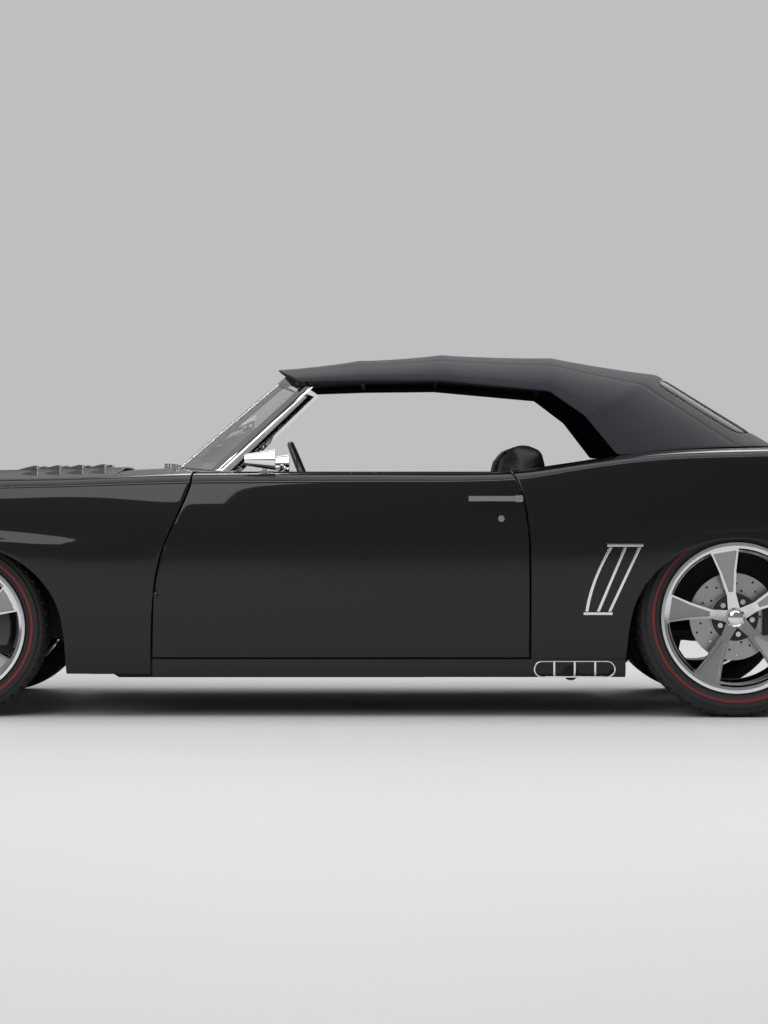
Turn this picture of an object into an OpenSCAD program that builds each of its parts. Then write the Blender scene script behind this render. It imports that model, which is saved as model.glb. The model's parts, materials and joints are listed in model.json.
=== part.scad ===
// Two-door convertible muscle car, parked with its fabric top up.
// X runs rearward, Y to the car's right, Z up. The origin is on the ground, mid length.

/* [Size] */
// Front bumper to front axle
front_overhang = 930; // [880:1:980]
// Distance between the axles
wheelbase = 2746; // [2716:1:2776]
// Rear axle to rear bumper
rear_overhang = 1048; // [1000:1:1100]
// Width over the rear hips
body_w = 1880; // [1860:1:1920]

/* [Wheels] */
// Distance between the front wheel centres
track_front = 1514; // [1500:1:1530]
// Distance between the rear wheel centres
track_rear = 1500; // [1480:1:1520]
// Front tyre diameter
tyre_d_front = 632; // [620:1:640]
// Rear tyre diameter
tyre_d_rear = 700; // [690:1:706]
// Front tyre width
tyre_w_front = 228; // [215:1:235]
// Rear tyre width
tyre_w_rear = 276; // [265:1:285]
// Front rim diameter over the flange
rim_d_front = 480; // [470:1:486]
// Rear rim diameter over the flange
rim_d_rear = 532; // [520:1:540]
// Number of spokes
spokes = 5; // [5:1:6]
// Angle of the first spoke from the rear horizontal
spoke_angle = 28; // [0:1:71]
// Half width of a spoke at its waist
spoke_waist = 16; // [13:0.5:20]
// Half width of a spoke at the rim
spoke_flare = 50; // [42:0.5:56]
// Width of the bright edge beside a spoke's pocket
spoke_edge = 8; // [6:0.5:10]
// Depth of a spoke's pocket
pocket_depth = 7; // [4:0.5:10]
// Radius of the bolt circle
bolt_circle_r = 60.3; // [57:0.1:63.5]
// Radius of a lug nut
lug_r = 10; // [8:0.5:11]
// Radius of the centre cap
cap_r = 34; // [30:0.5:38]
// Radius of the wheel spindles
spindle_r = 25; // [22:0.5:28]
// Radial clearance of a turning fit
run_clear = 0.05; // [0.02:0.01:0.1]

/* [Brakes] */
// Brake disc radius
disc_r = 155; // [145:1:160]
// Brake disc thickness
disc_t = 22; // [18:1:26]
// Radius of the holes drilled in a disc
drill_r = 4; // [3:0.5:5]

/* [Body panels] */
// Thickness of a skin panel
skin_t = 12; // [9:0.5:14]
// Thickness of a door below the window slot
door_t = 130; // [110:1:150]
// Thickness of hood and deck lid
lid_t = 20; // [16:1:24]
// Gap around doors and lids
shut_gap = 6; // [6:0.5:8]
// Gap where fixed pieces meet
seam = 0.3; // [0.2:0.05:0.5]
// Gap between a top panel and the leaning inner edge of the side panels
edge_gap = 1.3; // [1.2:0.05:1.6]
// Gap at the hinged edge of hood and deck lid
hinge_gap = 10; // [9:0.5:12]
// Half length of the front wheel opening
arch_a_front = 378; // [370:1:390]
// Height of the front wheel opening above its centre
arch_b_front = 318; // [312:1:326]
// Half length of the rear wheel opening
arch_a_rear = 382; // [376:1:392]
// Height of the rear wheel opening above its centre
arch_b_rear = 336; // [330:1:344]
// Height of the centres of the wheel openings
arch_z = 298; // [290:1:306]
// Height of the seam between door and rocker
rocker_top = 205; // [195:1:215]
// Height of the rocker's underside
rocker_z = 140; // [130:1:150]
// Crown of the hood across the car
hood_crown = 16; // [8:1:24]
// Height of the hood's raised middle
hood_bulge = 12; // [6:1:20]
// Crown of the deck lid across the car
deck_crown = 8; // [4:1:9]

/* [Hinges] */
// Radius of the hinge pins
pin_r = 6; // [5:0.5:7]
// Door hinge axis ahead of the foot of the door's front edge
door_hinge_ahead = 43; // [38:1:48]
// Door hinge axis inside the widest part of the body
door_hinge_in = 55; // [52:1:58]
// Height of the lower door hinge
hinge_z_low = 420; // [410:1:435]
// Height of the upper door hinge
hinge_z_high = 620; // [600:1:640]

/* [Floor and frame] */
// Height of the floor's underside
floor_z = 185; // [180:1:195]
// Floor thickness
floor_t = 15; // [12:1:20]
// Outer faces of the frame rails from the middle
rail_y = 470; // [455:1:475]
// Width of a frame rail
rail_w = 70; // [60:1:80]
// Height of the frame rails' underside
rail_z = 118; // [110:1:125]

/* [Hidden] */
$fn = 48;
car_length = front_overhang + wheelbase + rear_overhang;
fa = front_overhang - car_length / 2;
ra = fa + wheelbase;
hw = body_w / 2;
r_front = tyre_d_front / 2;
r_rear = tyre_d_rear / 2;
y_front = track_front / 2;
y_rear = track_rear / 2;

// Body sections. Columns: axle measured from (0 front, 1 rear), distance behind it, then
// height and inset from half width of the sill, crease, belt, shoulder and inner edge, and
// the depth of the crease
body_table = [
  [0, -858, 300, 140, 585, 72, 735, 78, 775, 128, 783, 300, 4],
  [0, -618, 240, 110, 600, 35, 760, 50, 805, 102, 814, 285, 8],
  [0, -368, 200, 92, 608, 18, 776, 38, 823, 92, 833, 276, 10],
  [0, 0, 170, 85, 628, 8, 789, 32, 836, 88, 846, 268, 12],
  [0, 432, 150, 78, 606, 14, 801, 34, 844, 88, 855, 262, 6],
  [0, 782, 142, 78, 596, 18, 810, 36, 857, 90, 868, 258, 0],
  [1, -1314, 140, 78, 590, 18, 814, 36, 861, 92, 870, 250, 0],
  [1, -788, 142, 76, 600, 14, 824, 34, 864, 90, 872, 170, 0],
  [1, -514, 146, 74, 616, 8, 872, 32, 901, 86, 908, 160, 2],
  [1, -264, 155, 74, 638, 2, 899, 30, 930, 84, 938, 160, 8],
  [1, 0, 170, 76, 652, 0, 909, 30, 940, 84, 948, 200, 12],
  [1, 286, 200, 82, 656, 6, 914, 38, 944, 92, 953, 290, 12],
  [1, 686, 255, 98, 645, 25, 902, 58, 930, 112, 942, 300, 9],
  [1, 976, 320, 130, 625, 60, 875, 90, 900, 140, 912, 310, 4],
];
SILL_Z = 1;
SILL_IN = 2;
CREASE_Z = 3;
CREASE_IN = 4;
BELT_Z = 5;
BELT_IN = 6;
TOP_Z = 7;
TOP_IN = 8;
EDGE_Z = 9;
EDGE_IN = 10;
CREASE_D = 11;
stations = [for (r = body_table) concat([(r[0] == 0 ? fa : ra) + r[1]], [for (i = [2:12]) r[i]])];

// Shut lines of the doors: height, distance behind the front or ahead of the rear axle
door_front_line = [[140, 688], [205, 690], [400, 697], [560, 719], [700, 778], [810, 826], [880, 832]];
door_rear_line = [[140, 730], [205, 730], [600, 732], [700, 740], [780, 754], [830, 774], [880, 800]];

// Fabric top. Columns: axle, distance behind it and height at the middle, then distance,
// inset from half width and height at the edge, for the header, three bows and the rear foot
bow_table = [
  [0, 1108, 1246, 1197, 374, 1190],
  [0, 1410, 1281, 1430, 350, 1195],
  [0, 1717, 1303, 1700, 336, 1195],
  [1, -619, 1292, -650, 300, 1156],
  [1, -219, 1229, -526, 234, 1066],
];
foot_x_mid = 221;
foot_x_edge = -412;
foot_w = hw - 172;

function lerp(a, b, t) = a + (b - a) * t;
function clamp(x, a, b) = min(max(x, a), b);
function span_of(t, x, i = 0) = (i >= len(t) - 2 || x < t[i + 1][0]) ? i : span_of(t, x, i + 1);
function slope(t, i, c) =
  let (a = max(i - 1, 0), b = min(i + 1, len(t) - 1))
  (t[b][c] - t[a][c]) / (t[b][0] - t[a][0]);
function smooth(t, x, c) =
  let (i = span_of(t, x),
       h = t[i + 1][0] - t[i][0],
       s = clamp((x - t[i][0]) / h, 0, 1),
       m0 = slope(t, i, c) * h,
       m1 = slope(t, i + 1, c) * h)
  (2 * s^3 - 3 * s^2 + 1) * t[i][c] + (s^3 - 2 * s^2 + s) * m0
  + (3 * s^2 - 2 * s^3) * t[i + 1][c] + (s^3 - s^2) * m1;
function col(x, c) = smooth(stations, x, c);
function edge_w(x) = hw - col(x, EDGE_IN);
function door_front(z) = fa + smooth(door_front_line, z, 1);
function door_rear(z) = ra - smooth(door_rear_line, z, 1);

// Half width of the body side below the crease
function low_w(x, z) =
  let (zc = col(x, CREASE_Z), zs = col(x, SILL_Z), ci = col(x, CREASE_IN))
  hw - ci - (col(x, SILL_IN) - ci) * clamp((zc - z) / (zc - zs), 0, 1)^2.4;

// Points of the left body side from its lower edge to the inner edge on top
low_rows = 5;
up_rows = 3;
turn_rows = 4;
ridge_h = 24;
function section(x, z_low) =
  let (zc = max(col(x, CREASE_Z), z_low + 10), ci = col(x, CREASE_IN), cd = col(x, CREASE_D),
       zb = col(x, BELT_Z), bi = col(x, BELT_IN), zt = col(x, TOP_Z), ti = col(x, TOP_IN),
       ze = col(x, EDGE_Z), ei = col(x, EDGE_IN), zr = zc + ridge_h)
  concat(
    [for (k = [0:low_rows]) let (z = lerp(z_low, zc, k / low_rows)) [-low_w(x, z), z]],
    [for (k = [0:up_rows]) let (t = k / up_rows) [lerp(ci + cd, bi, t^1.5) - hw, lerp(zr, zb, t)]],
    [for (k = [1:turn_rows]) let (a = 90 * k / turn_rows)
      [lerp(bi, ti, 1 - cos(a)) - hw, lerp(zb, zt, sin(a))]],
    [[lerp(ti, ei, 0.5) - hw, lerp(zt, ze, 0.6)], [ei - hw, ze]]
  );

// Section moved inward by t along its own normals
function moved_in(sec, t) =
  [for (i = [0:len(sec) - 1])
    let (a = sec[max(i - 1, 0)], b = sec[min(i + 1, len(sec) - 1)], d = b - a, n = norm(d))
    sec[i] + t * [d[1], -d[0]] / n];
function at_x(x, sec) = [for (p = sec) [x, p[0], p[1]]];

// Closed solid between two grids of points. Rows run rearward, columns so that the
// row direction crossed with the column direction points out of the outer grid
module slab(outer, inner) {
  n = len(outer);
  m = len(outer[0]);
  k = n * m;
  o = function(i, j) i * m + j;
  polyhedron(
    points = concat([for (r = outer) each r], [for (r = inner) each r]),
    faces = concat(
      [for (i = [0:n - 2], j = [0:m - 2]) each [
        [o(i, j), o(i, j + 1), o(i + 1, j + 1)],
        [o(i, j), o(i + 1, j + 1), o(i + 1, j)],
        [k + o(i, j), k + o(i + 1, j + 1), k + o(i, j + 1)],
        [k + o(i, j), k + o(i + 1, j), k + o(i + 1, j + 1)]]],
      [for (j = [0:m - 2]) each [
        [o(0, j + 1), o(0, j), k + o(0, j)],
        [o(0, j + 1), k + o(0, j), k + o(0, j + 1)],
        [o(n - 1, j), o(n - 1, j + 1), k + o(n - 1, j + 1)],
        [o(n - 1, j), k + o(n - 1, j + 1), k + o(n - 1, j)]]],
      [for (i = [0:n - 2]) each [
        [o(i, 0), o(i + 1, 0), k + o(i + 1, 0)],
        [o(i, 0), k + o(i + 1, 0), k + o(i, 0)],
        [o(i + 1, m - 1), o(i, m - 1), k + o(i, m - 1)],
        [o(i + 1, m - 1), k + o(i, m - 1), k + o(i + 1, m - 1)]]]));
}

// Grid moved inward by t along the normals of the surface
function inward(g, t) =
  let (n = len(g), m = len(g[0]))
  [for (i = [0:n - 1]) [for (j = [0:m - 1])
    let (u = g[min(i + 1, n - 1)][j] - g[max(i - 1, 0)][j],
         v = g[i][min(j + 1, m - 1)] - g[i][max(j - 1, 0)],
         c = cross(u, v))
    g[i][j] - t * c / norm(c)]];
function lowered(g, t) = [for (r = g) [for (p = r) p - [0, 0, t]]];
// Underside of a lid, thinned to t_edge at row n
function under_lid(g, t, n, t_edge) =
  [for (i = [0:len(g) - 1]) [for (p = g[i]) p - [0, 0, i == n ? t_edge : t]]];
module skin(grid, t) { slab(grid, inward(grid, t)); }

// Bar through closed loops of points, with flat ends
module bar(loops) {
  n = len(loops);
  m = len(loops[0]);
  o = function(i, j) i * m + j % m;
  polyhedron(
    points = [for (r = loops) each r],
    faces = concat(
      [for (i = [0:n - 2], j = [0:m - 1]) each [
        [o(i, j), o(i, j + 1), o(i + 1, j + 1)],
        [o(i, j), o(i + 1, j + 1), o(i + 1, j)]]],
      [[for (j = [m - 1:-1:0]) j], [for (j = [0:m - 1]) (n - 1) * m + j]]));
}
module both() {
  children();
  mirror([0, 1, 0]) children();
}
// Extrusions along Y and along X of a drawing whose second axis is Z
module across(w) { translate([0, w / 2, 0]) rotate([90, 0, 0]) linear_extrude(w) children(); }
module along(x0, x1) {
  translate([x0, 0, 0]) rotate([90, 0, 90]) linear_extrude(x1 - x0) children();
}
module block(lo, hi) { translate(lo) cube(hi - lo); }

// Lower edge of a side panel with a wheel opening centred at xc
function arch_low(x, xc, a, b, z) =
  abs(x - xc) < a - 0.01 ? max(arch_z + b * sqrt(1 - ((x - xc) / a)^2), z) : z;
arch_step = 8;
arch_angles = [for (k = [0:12]) 180 - 15 * k];
function inner_of(row, t) =
  let (s = moved_in([for (p = row) [p[1], p[2]]], t))
  [for (i = [0:len(row) - 1]) [row[i][0], s[i][0], s[i][1]]];
// Row of a panel whose share u of the way from x0 lies towards a slanting edge line
function slant_row(x0, x1, u, z_low, line, off) =
  let (sec = section(lerp(x0, x1, u), z_low))
  [for (j = [0:len(sec) - 1])
    let (x = lerp(x0, line(sec[j][1]) + off, u), s = section(x, z_low)) [x, s[j][0], s[j][1]]];

fender_front = fa - 858;
quarter_rear = ra + 976;
function fender_low(x) = arch_low(x, fa, arch_a_front, arch_b_front, col(x, SILL_Z));
fender_grid =
  let (xa = fa + arch_a_front + arch_step, line = function(z) door_front(z))
  concat(
    [for (x = [fender_front, fa - 720, fa - 580, fa - 470, fa - arch_a_front - arch_step])
      at_x(x, section(x, fender_low(x)))],
    [for (a = arch_angles) let (x = fa + arch_a_front * cos(a))
      at_x(x, section(x, max(fender_low(x), arch_z)))],
    [for (u = [0, 0.3, 0.65, 1]) slant_row(xa, fa + 760, u, col(xa, SILL_Z), line, -shut_gap)]);
quarter_low_z = rocker_top + seam;
function quarter_low(x) =
  x < ra ? arch_low(x, ra, arch_a_rear, arch_b_rear, quarter_low_z)
         : arch_low(x, ra, arch_a_rear, arch_b_rear, col(x, SILL_Z));
quarter_grid =
  let (xa = ra - arch_a_rear - arch_step, line = function(z) door_rear(z))
  concat(
    [for (u = [1, 0.8, 0.55, 0.3, 0]) slant_row(xa, ra - 740, u, quarter_low_z, line, shut_gap)],
    [for (a = arch_angles) let (x = ra + arch_a_rear * cos(a))
      at_x(x, section(x, max(quarter_low(x), arch_z)))],
    [for (x = [ra + arch_a_rear + arch_step, ra + 500, ra + 640, ra + 800, quarter_rear])
      at_x(x, section(x, quarter_low(x)))]);

module side_skin(g) { slab(g, [for (r = g) inner_of(r, skin_t)]); }
module front_fenders() { color("black") both() side_skin(fender_grid); }
module quarter_panels() { color("black") both() side_skin(quarter_grid); }

// Doors: the outside is the body surface, the inside a trimmed face one wall thickness in
door_rows = low_rows + up_rows + turn_rows + 2;
door_low = rocker_top + shut_gap;
door_top_t = 58;
door_taper_front = 60;
door_taper_rear = 34;
door_us = [0, 0.12, 0.25, 0.4, 0.55, 0.7, 0.82, 0.92, 1];
function door_row(u) =
  let (x0 = fa + 760, x1 = ra - 745, sec = section(lerp(x0, x1, u), door_low))
  [for (j = [0:door_rows - 1])
    let (z = sec[j][1], x = lerp(door_front(z), door_rear(z), u), s = section(x, door_low))
    [x, s[j][0], s[j][1]]];
function door_inner(row, u) =
  [for (p = row)
    let (t = clamp((p[2] - door_low) / (col(p[0], TOP_Z) - door_low), 0, 1))
    [p[0] + lerp(door_taper_front, -door_taper_rear, u), lerp(low_w(p[0], door_low) * -1 + door_t,
      col(p[0], TOP_IN) - hw + door_top_t, t), p[2]]];
hinge_x = fa + 690 - door_hinge_ahead;
hinge_y = hw - door_hinge_in;
strap_t = 8;
strap_h = 40;
knuckle_r = pin_r + 6;
strap_in = 110;
module door_strap(z) {
  end_x = door_front(z) - hinge_x + strap_in;
  translate([hinge_x, -hinge_y, z - strap_h / 2]) linear_extrude(strap_h) difference() {
    union() {
      circle(knuckle_r);
      polygon([[-2, 0], [9, 70], [20, 100], [end_x, 104], [end_x, 94], [28, 88], [19, 66], [9, 0]]);
    }
    circle(pin_r + run_clear);
  }
}
module door_shell() {
  rows = [for (u = door_us) door_row(u)];
  slab(rows, [for (i = [0:len(rows) - 1]) door_inner(rows[i], door_us[i])]);
  door_strap(hinge_z_low);
  door_strap(hinge_z_high);
}
module door_left() { color("black") door_shell(); }
module door_right() { color("black") mirror([0, 1, 0]) door_shell(); }

// Mirror, handle, button and lock on a door
mirror_x = fa + 1080;
handle_x = ra - 850;
handle_z = 770;
lock_z = 700;
lock_x = handle_x + 20;
// Outside of the body side at height z, for a panel whose lower edge is at z_low
function skin_y(x, z, z_low) = lookup(z, [for (p = section(x, z_low)) [p[1], p[0]]]);
trim_gap = 0.4;
handle_l = 190;
handle_h = 18;
handle_d = 28;
handle_foot = 26;
button_r = 8;
lock_r = 11;
lock_d = 6;
mirror_r = 37;
mirror_l = 108;
mirror_up = 46;
mirror_ahead = 66;
mirror_out = 40;
// Outermost skin of a door under a piece of half length a and half height h
function seat_y(x, z, a, h) =
  min([for (i = [-1, 1], j = [-1, 0, 1]) skin_y(x + i * a, z + j * h, door_low)]) - trim_gap;
module handle_foot(x, h) {
  y = seat_y(x, handle_z, handle_foot / 2, h / 2);
  block([x - handle_foot / 2, grip_y - 2, handle_z - h / 2], [x + handle_foot / 2, y, handle_z + h / 2]);
}
grip_y = seat_y(handle_x, handle_z, handle_l / 2, handle_h / 2) - handle_d + 10;
module door_trim() {
  handle_foot(handle_x - (handle_l - handle_foot) / 2 + 1, handle_h - 2);
  handle_foot(handle_x + (handle_l - handle_foot) / 2 - 1, handle_h + 4);
  block([handle_x - handle_l / 2, grip_y - 10, handle_z - handle_h / 2],
    [handle_x + handle_l / 2, grip_y, handle_z + handle_h / 2]);
  translate([handle_x + (handle_l - handle_foot) / 2, grip_y - 6, handle_z]) rotate([90, 0, 0])
    cylinder(r = button_r, h = 12);
  translate([lock_x, seat_y(lock_x, lock_z, lock_r, lock_r), lock_z]) rotate([90, 0, 0])
    cylinder(r = lock_r, h = lock_d);
  zm = max(col(mirror_x - 18, TOP_Z), col(mirror_x + 34, TOP_Z)) + seam;
  translate([mirror_x, mirror_out - hw + col(mirror_x, TOP_IN), zm]) {
    translate([-18, -14, 0]) cube([52, 28, 8]);
    translate([0, 0, 4]) rotate([0, 18, 0]) cylinder(r = 7, h = mirror_up - 10);
    translate([-mirror_ahead, -mirror_out, mirror_up]) rotate([0, 90, 0])
      cylinder(r1 = mirror_r - 17, r2 = mirror_r, h = mirror_l);
    translate([-14, -mirror_out, mirror_up - 28]) cube([40, mirror_out + 6, 12]);
  }
}
module door_chrome_left() { color("silver") door_trim(); }
module door_chrome_right() { color("silver") mirror([0, 1, 0]) door_trim(); }

// Hood with two rear hinge arms
hood_rear = fa + 542;
hood_front = fender_front + shut_gap;
hood_us = [for (k = [0:9]) k / 9];
across_vs = [-1, -0.93, -0.8, -0.62, -0.46, -0.36, -0.18, 0, 0.18, 0.36, 0.46, 0.62, 0.8, 0.93, 1];
function hood_z(x, y) =
  let (w = edge_w(x) - shut_gap, v = clamp(abs(y) / w, 0, 1), t = clamp((x - fa + 420) / 260, 0, 1),
       b = clamp((0.5 - v) / 0.12, 0, 1))
  col(x, EDGE_Z) + hood_crown * (1 - v^2) + hood_bulge * (3 * t^2 - 2 * t^3) * (3 * b^2 - 2 * b^3);
hood_grid = [for (u = hood_us) let (x = lerp(hood_front, hood_rear, u), w = edge_w(x) - shut_gap)
  [for (v = across_vs) [x, v * w, hood_z(x, v * w)]]];
hood_hinge_x = hood_rear + 70;
hinge_drop = 26;
lid_edge_t = 8;
hood_hinge_z = col(hood_rear, EDGE_Z) - hinge_drop;
lid_hinge_y = hw - 380;
arm_t = 12;
bracket_t = 12;
module goose_arm(dir, low, far, top) {
  across(arm_t) difference() {
    union() {
      circle(pin_r + 8);
      polygon([[0, 8], [dir * (low[0] - 14), low[1] + 16], [dir * (low[0] + 4), low[1] + 14],
               [dir * (far - 22), top], [dir * (far + 14), top], [dir * (low[0] + 12), low[1] - 4],
               [dir * (low[0] - 22), low[1] - 2], [dir * -4, -8]]);
    }
    circle(pin_r + run_clear);
  }
}
vents = 4;
vent_x = fa + 150;
vent_pitch = 84;
vent_l = 66;
vent_y = 172;
vent_w = 84;
vent_h = 15;
vent_sink = 4;
// Raised vent on the hood, lowest at its front
module vent(x, y) {
  rise = [[2, 2, 2, 2], [2, 5, 5, 2], [2, vent_h, vent_h, 2], [2, vent_h - 3, vent_h - 3, 2]];
  xs = [0, 0.15, 0.85, 1];
  ys = [-0.5, -0.38, 0.38, 0.5];
  lay = function(k) [for (i = [0:3]) [for (j = [0:3])
    let (px = x + vent_l * xs[i], py = y + vent_w * ys[j])
    [px, py, hood_z(px, py) + (k == 1 ? rise[i][j] : -vent_sink)]]];
  slab(lay(1), lay(0));
}
module hood() {
  color("black") {
    slab(hood_grid, under_lid(hood_grid, lid_t, len(hood_grid) - 1, lid_edge_t));
    both() translate([hood_hinge_x, -lid_hinge_y, hood_hinge_z]) goose_arm(-1, [80, -66], 140, 20);
    both() for (k = [0:vents - 1]) vent(vent_x + vent_pitch * k, -vent_y);
  }
}

// Deck lid with two front hinge arms
lid_front = ra + 304;
lid_rear = quarter_rear - shut_gap;
function deck_z(x, y) = col(x, EDGE_Z) + deck_crown * (1 - (y / edge_w(x))^2);
lid_grid = [for (k = [0:6]) let (x = lerp(lid_front, lid_rear, k / 6), w = edge_w(x) - shut_gap)
  [for (v = [-1, -0.9, -0.7, -0.45, -0.2, 0, 0.2, 0.45, 0.7, 0.9, 1]) [x, v * w, deck_z(x, v * w)]]];
lid_hinge_x = lid_front - 60;
lid_hinge_z = col(lid_front, EDGE_Z) - hinge_drop;
module deck_lid() {
  color("black") {
    slab(lid_grid, under_lid(lid_grid, lid_t, 0, lid_edge_t));
    both() translate([lid_hinge_x, -lid_hinge_y, lid_hinge_z]) goose_arm(1, [44, -82], 130, 18);
  }
}

// Panel between the fabric top and the deck lid, open over the cabin
filler_front = ra - 434;
filler_rear = lid_front - hinge_gap;
well_x = 160;
well_w = hw - 250;
function bow_share(v) = (1 - abs(v)^2.5)^0.6;
filler_step = (hw - 520) / 2;
// Inner edge of the quarter panel as pairs of x and half width
quarter_edge = [for (r = quarter_grid) let (p = r[len(r) - 1]) [p[0], -p[1]]];
filler_xs = concat([filler_front],
  [for (q = quarter_edge) if (q[0] > filler_front + 60 && q[0] < filler_rear - 10) q[0]],
  [filler_rear]);
filler_side = [for (x = filler_xs) [x, edge_gap - lookup(x, quarter_edge)]];
side_n = len(filler_side) - 1;
filler_outer = concat(filler_side,
  [for (k = [-2:2]) [filler_rear, k * filler_step]],
  [for (k = [side_n:-1:0]) [filler_side[k][0], -filler_side[k][1]]]);
filler_v = concat([for (k = [0:side_n]) -1 + 0.25 * k / side_n], [for (k = [-2:2]) k * 0.25],
  [for (k = [side_n:-1:0]) 1 - 0.25 * k / side_n]);
filler_grid = [for (i = [0:len(filler_outer) - 1])
  let (o = filler_outer[i], v = filler_v[i],
       q = [lerp(filler_front, ra + well_x, bow_share(v)), well_w * v])
  [for (t = [0, 0.5, 1]) let (p = lerp(o, q, t)) [p[0], p[1], deck_z(p[0], p[1])]]];
module deck_filler() {
  color("black") {
    slab(filler_grid, lowered(filler_grid, skin_t));
    both() translate([lid_hinge_x, -lid_hinge_y, lid_hinge_z]) {
      translate([0, -arm_t / 2 - 1 - bracket_t / 2, 0]) across(bracket_t) translate([-16, -14])
        square([30, 34]);
      translate([0, arm_t / 2, 0]) rotate([90, 0, 0]) cylinder(r = pin_r, h = arm_t + 2);
    }
  }
}

// Windshield surface: s from -1 at the left to 1 at the right, t from 0 at the base to 1
glass_t = 8;
frame_d = 30;
glass_w_low = hw - 268;
glass_w_high = hw - 392;
glass_top_z = 1198;
glass_base_x = fa + 733;
glass_base_sweep = 149;
glass_top_x = fa + 1102;
glass_top_sweep = 98;
glass_top_drop = 30;
function cowl_z(x, s) = col(x, EDGE_Z) + hood_crown * max(1 - s^2, 0);
function glass_low(s) =
  let (x = glass_base_x + glass_base_sweep * abs(s)^2.2)
  [x, glass_w_low * s, cowl_z(x + frame_d, s) + seam];
function glass_high(s) =
  [glass_top_x + glass_top_sweep * abs(s)^2.2, glass_w_high * s, glass_top_z - glass_top_drop * s^2];
function glass(s, t) = lerp(glass_low(s), glass_high(s), t);
function pushed(g, d) = [for (r = g) [for (p = r) p + [d, 0, 0]]];
glass_ss = [for (k = [-7:7]) k / 7];
module windshield() {
  g = [for (t = [0, 0.5, 1]) [for (s = glass_ss) glass(s, t)]];
  color([0.6, 0.7, 0.7, 0.4]) slab(g, pushed(g, glass_t));
}
pillar_s = 0.055;
header_t = 0.095;
header_thin = 0.65;
frame_seam = 0.0008;
frame_ts = [0, 0.5, 1];
function frame_top(s) = 1 + header_t * (1 - header_thin * s^2);
// Points round one side of the frame: up the left pillar, along the header, down the right one
function frame_line(w, top) = concat(
  [for (t = frame_ts) glass(-w, t == 1 ? top(w) : t)],
  [for (k = [-6:6]) glass(k / 7, top(k / 7))],
  [for (t = [1, 0.5, 0]) glass(w, t == 1 ? top(w) : t)]);
frame_in = frame_line(1 + frame_seam, function(s) 1 + frame_seam);
frame_out = frame_line(1 + pillar_s, function(s) frame_top(s));
cabin_mirror_w = 240;
cabin_mirror_h = 56;
module windshield_frame() {
  g = [frame_in, frame_out];
  color("silver") {
    slab(g, pushed(g, frame_d));
    translate(glass(0, 1 + header_t / 2) + [frame_d - 6, 0, 0]) rotate([0, 125, 0]) {
      cylinder(r = 7, h = 62);
      translate([-cabin_mirror_h / 2, -cabin_mirror_w / 2, 56]) cube([cabin_mirror_h, cabin_mirror_w, 14]);
    }
  }
}

// Cowl panel from the hood's rear edge to just behind the foot of the glass
cowl_front = hood_rear + hinge_gap;
cowl_grid = [for (u = [0, 0.5, 1]) [for (s = glass_ss)
  let (x = lerp(cowl_front, glass_low(s)[0] + 40, u)) [x, s * (edge_w(x) - edge_gap), cowl_z(x, s)]]];
module cowl() { color("black") slab(cowl_grid, lowered(cowl_grid, skin_t)); }

// Wipers parked along the foot of the glass, each in one sweep from its pivot
wiper_up = 6;
wiper_t = 8;
wiper_w = 5;
wiper_len = 0.52;
wiper_pivots = [-0.62, -0.02];
module wiper(s0) {
  pts = [for (q = [[0, 46], [0.08, 26], [0.3, 18], [wiper_len, 18]])
    let (g = glass_low(s0 + q[0]), x = g[0] - q[1]) [x, g[1], cowl_z(x, s0 + q[0]) + wiper_up]];
  bar([for (p = pts) [p + [-wiper_w, 0, wiper_t], p + [-wiper_w, 0, 0], p + [wiper_w, 0, 0],
    p + [wiper_w, 0, wiper_t]]]);
  translate(pts[0] + [0, 8, 2 * seam - wiper_up]) cylinder(r = 12, h = wiper_up + wiper_t + 4);
}
module wipers() { color("silver") for (s0 = wiper_pivots) wiper(s0); }

// Firewall with hinge posts, door hinge pins and hood hinge brackets
wall_x = fa + 720;
wall_t = 15;
post_in = hw - 240;
post_t = 20;
post_top = 836;
module door_pin(z) {
  translate([hinge_x, -hinge_y, z - strap_h / 2 - 12]) {
    cylinder(r = pin_r, h = strap_h + 12);
    translate([-8, -10, 0]) cube([16, hinge_y - post_y + 12, 11]);
  }
}
post_y = hinge_y - 62;
module firewall() {
  color("dimgray") {
    difference() {
      block([wall_x, -post_in - 1, floor_z + floor_t + seam],
        [wall_x + wall_t, post_in + 1, post_top + 10]);
      block([wall_x - 1, -tunnel_w / 2, floor_z],
        [wall_x + wall_t + 1, tunnel_w / 2, floor_z + tunnel_h + seam]);
    }
    both() {
      block([hinge_x - 55, -post_y, floor_z + floor_t + seam], [hinge_x - 2, -post_in, post_top]);
      block([hinge_x - 3, -post_in - post_t, floor_z + floor_t + seam],
        [wall_x + wall_t, -post_in, post_top]);
      door_pin(hinge_z_low);
      door_pin(hinge_z_high);
      translate([hood_hinge_x, -lid_hinge_y, hood_hinge_z]) {
        translate([0, -arm_t / 2 - 1 - bracket_t / 2, 0]) across(bracket_t) translate([-14, -16])
          square([wall_x - hood_hinge_x + 15, 32]);
        translate([0, arm_t / 2, 0]) rotate([90, 0, 0]) cylinder(r = pin_r, h = arm_t + 2);
      }
    }
  }
}

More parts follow.
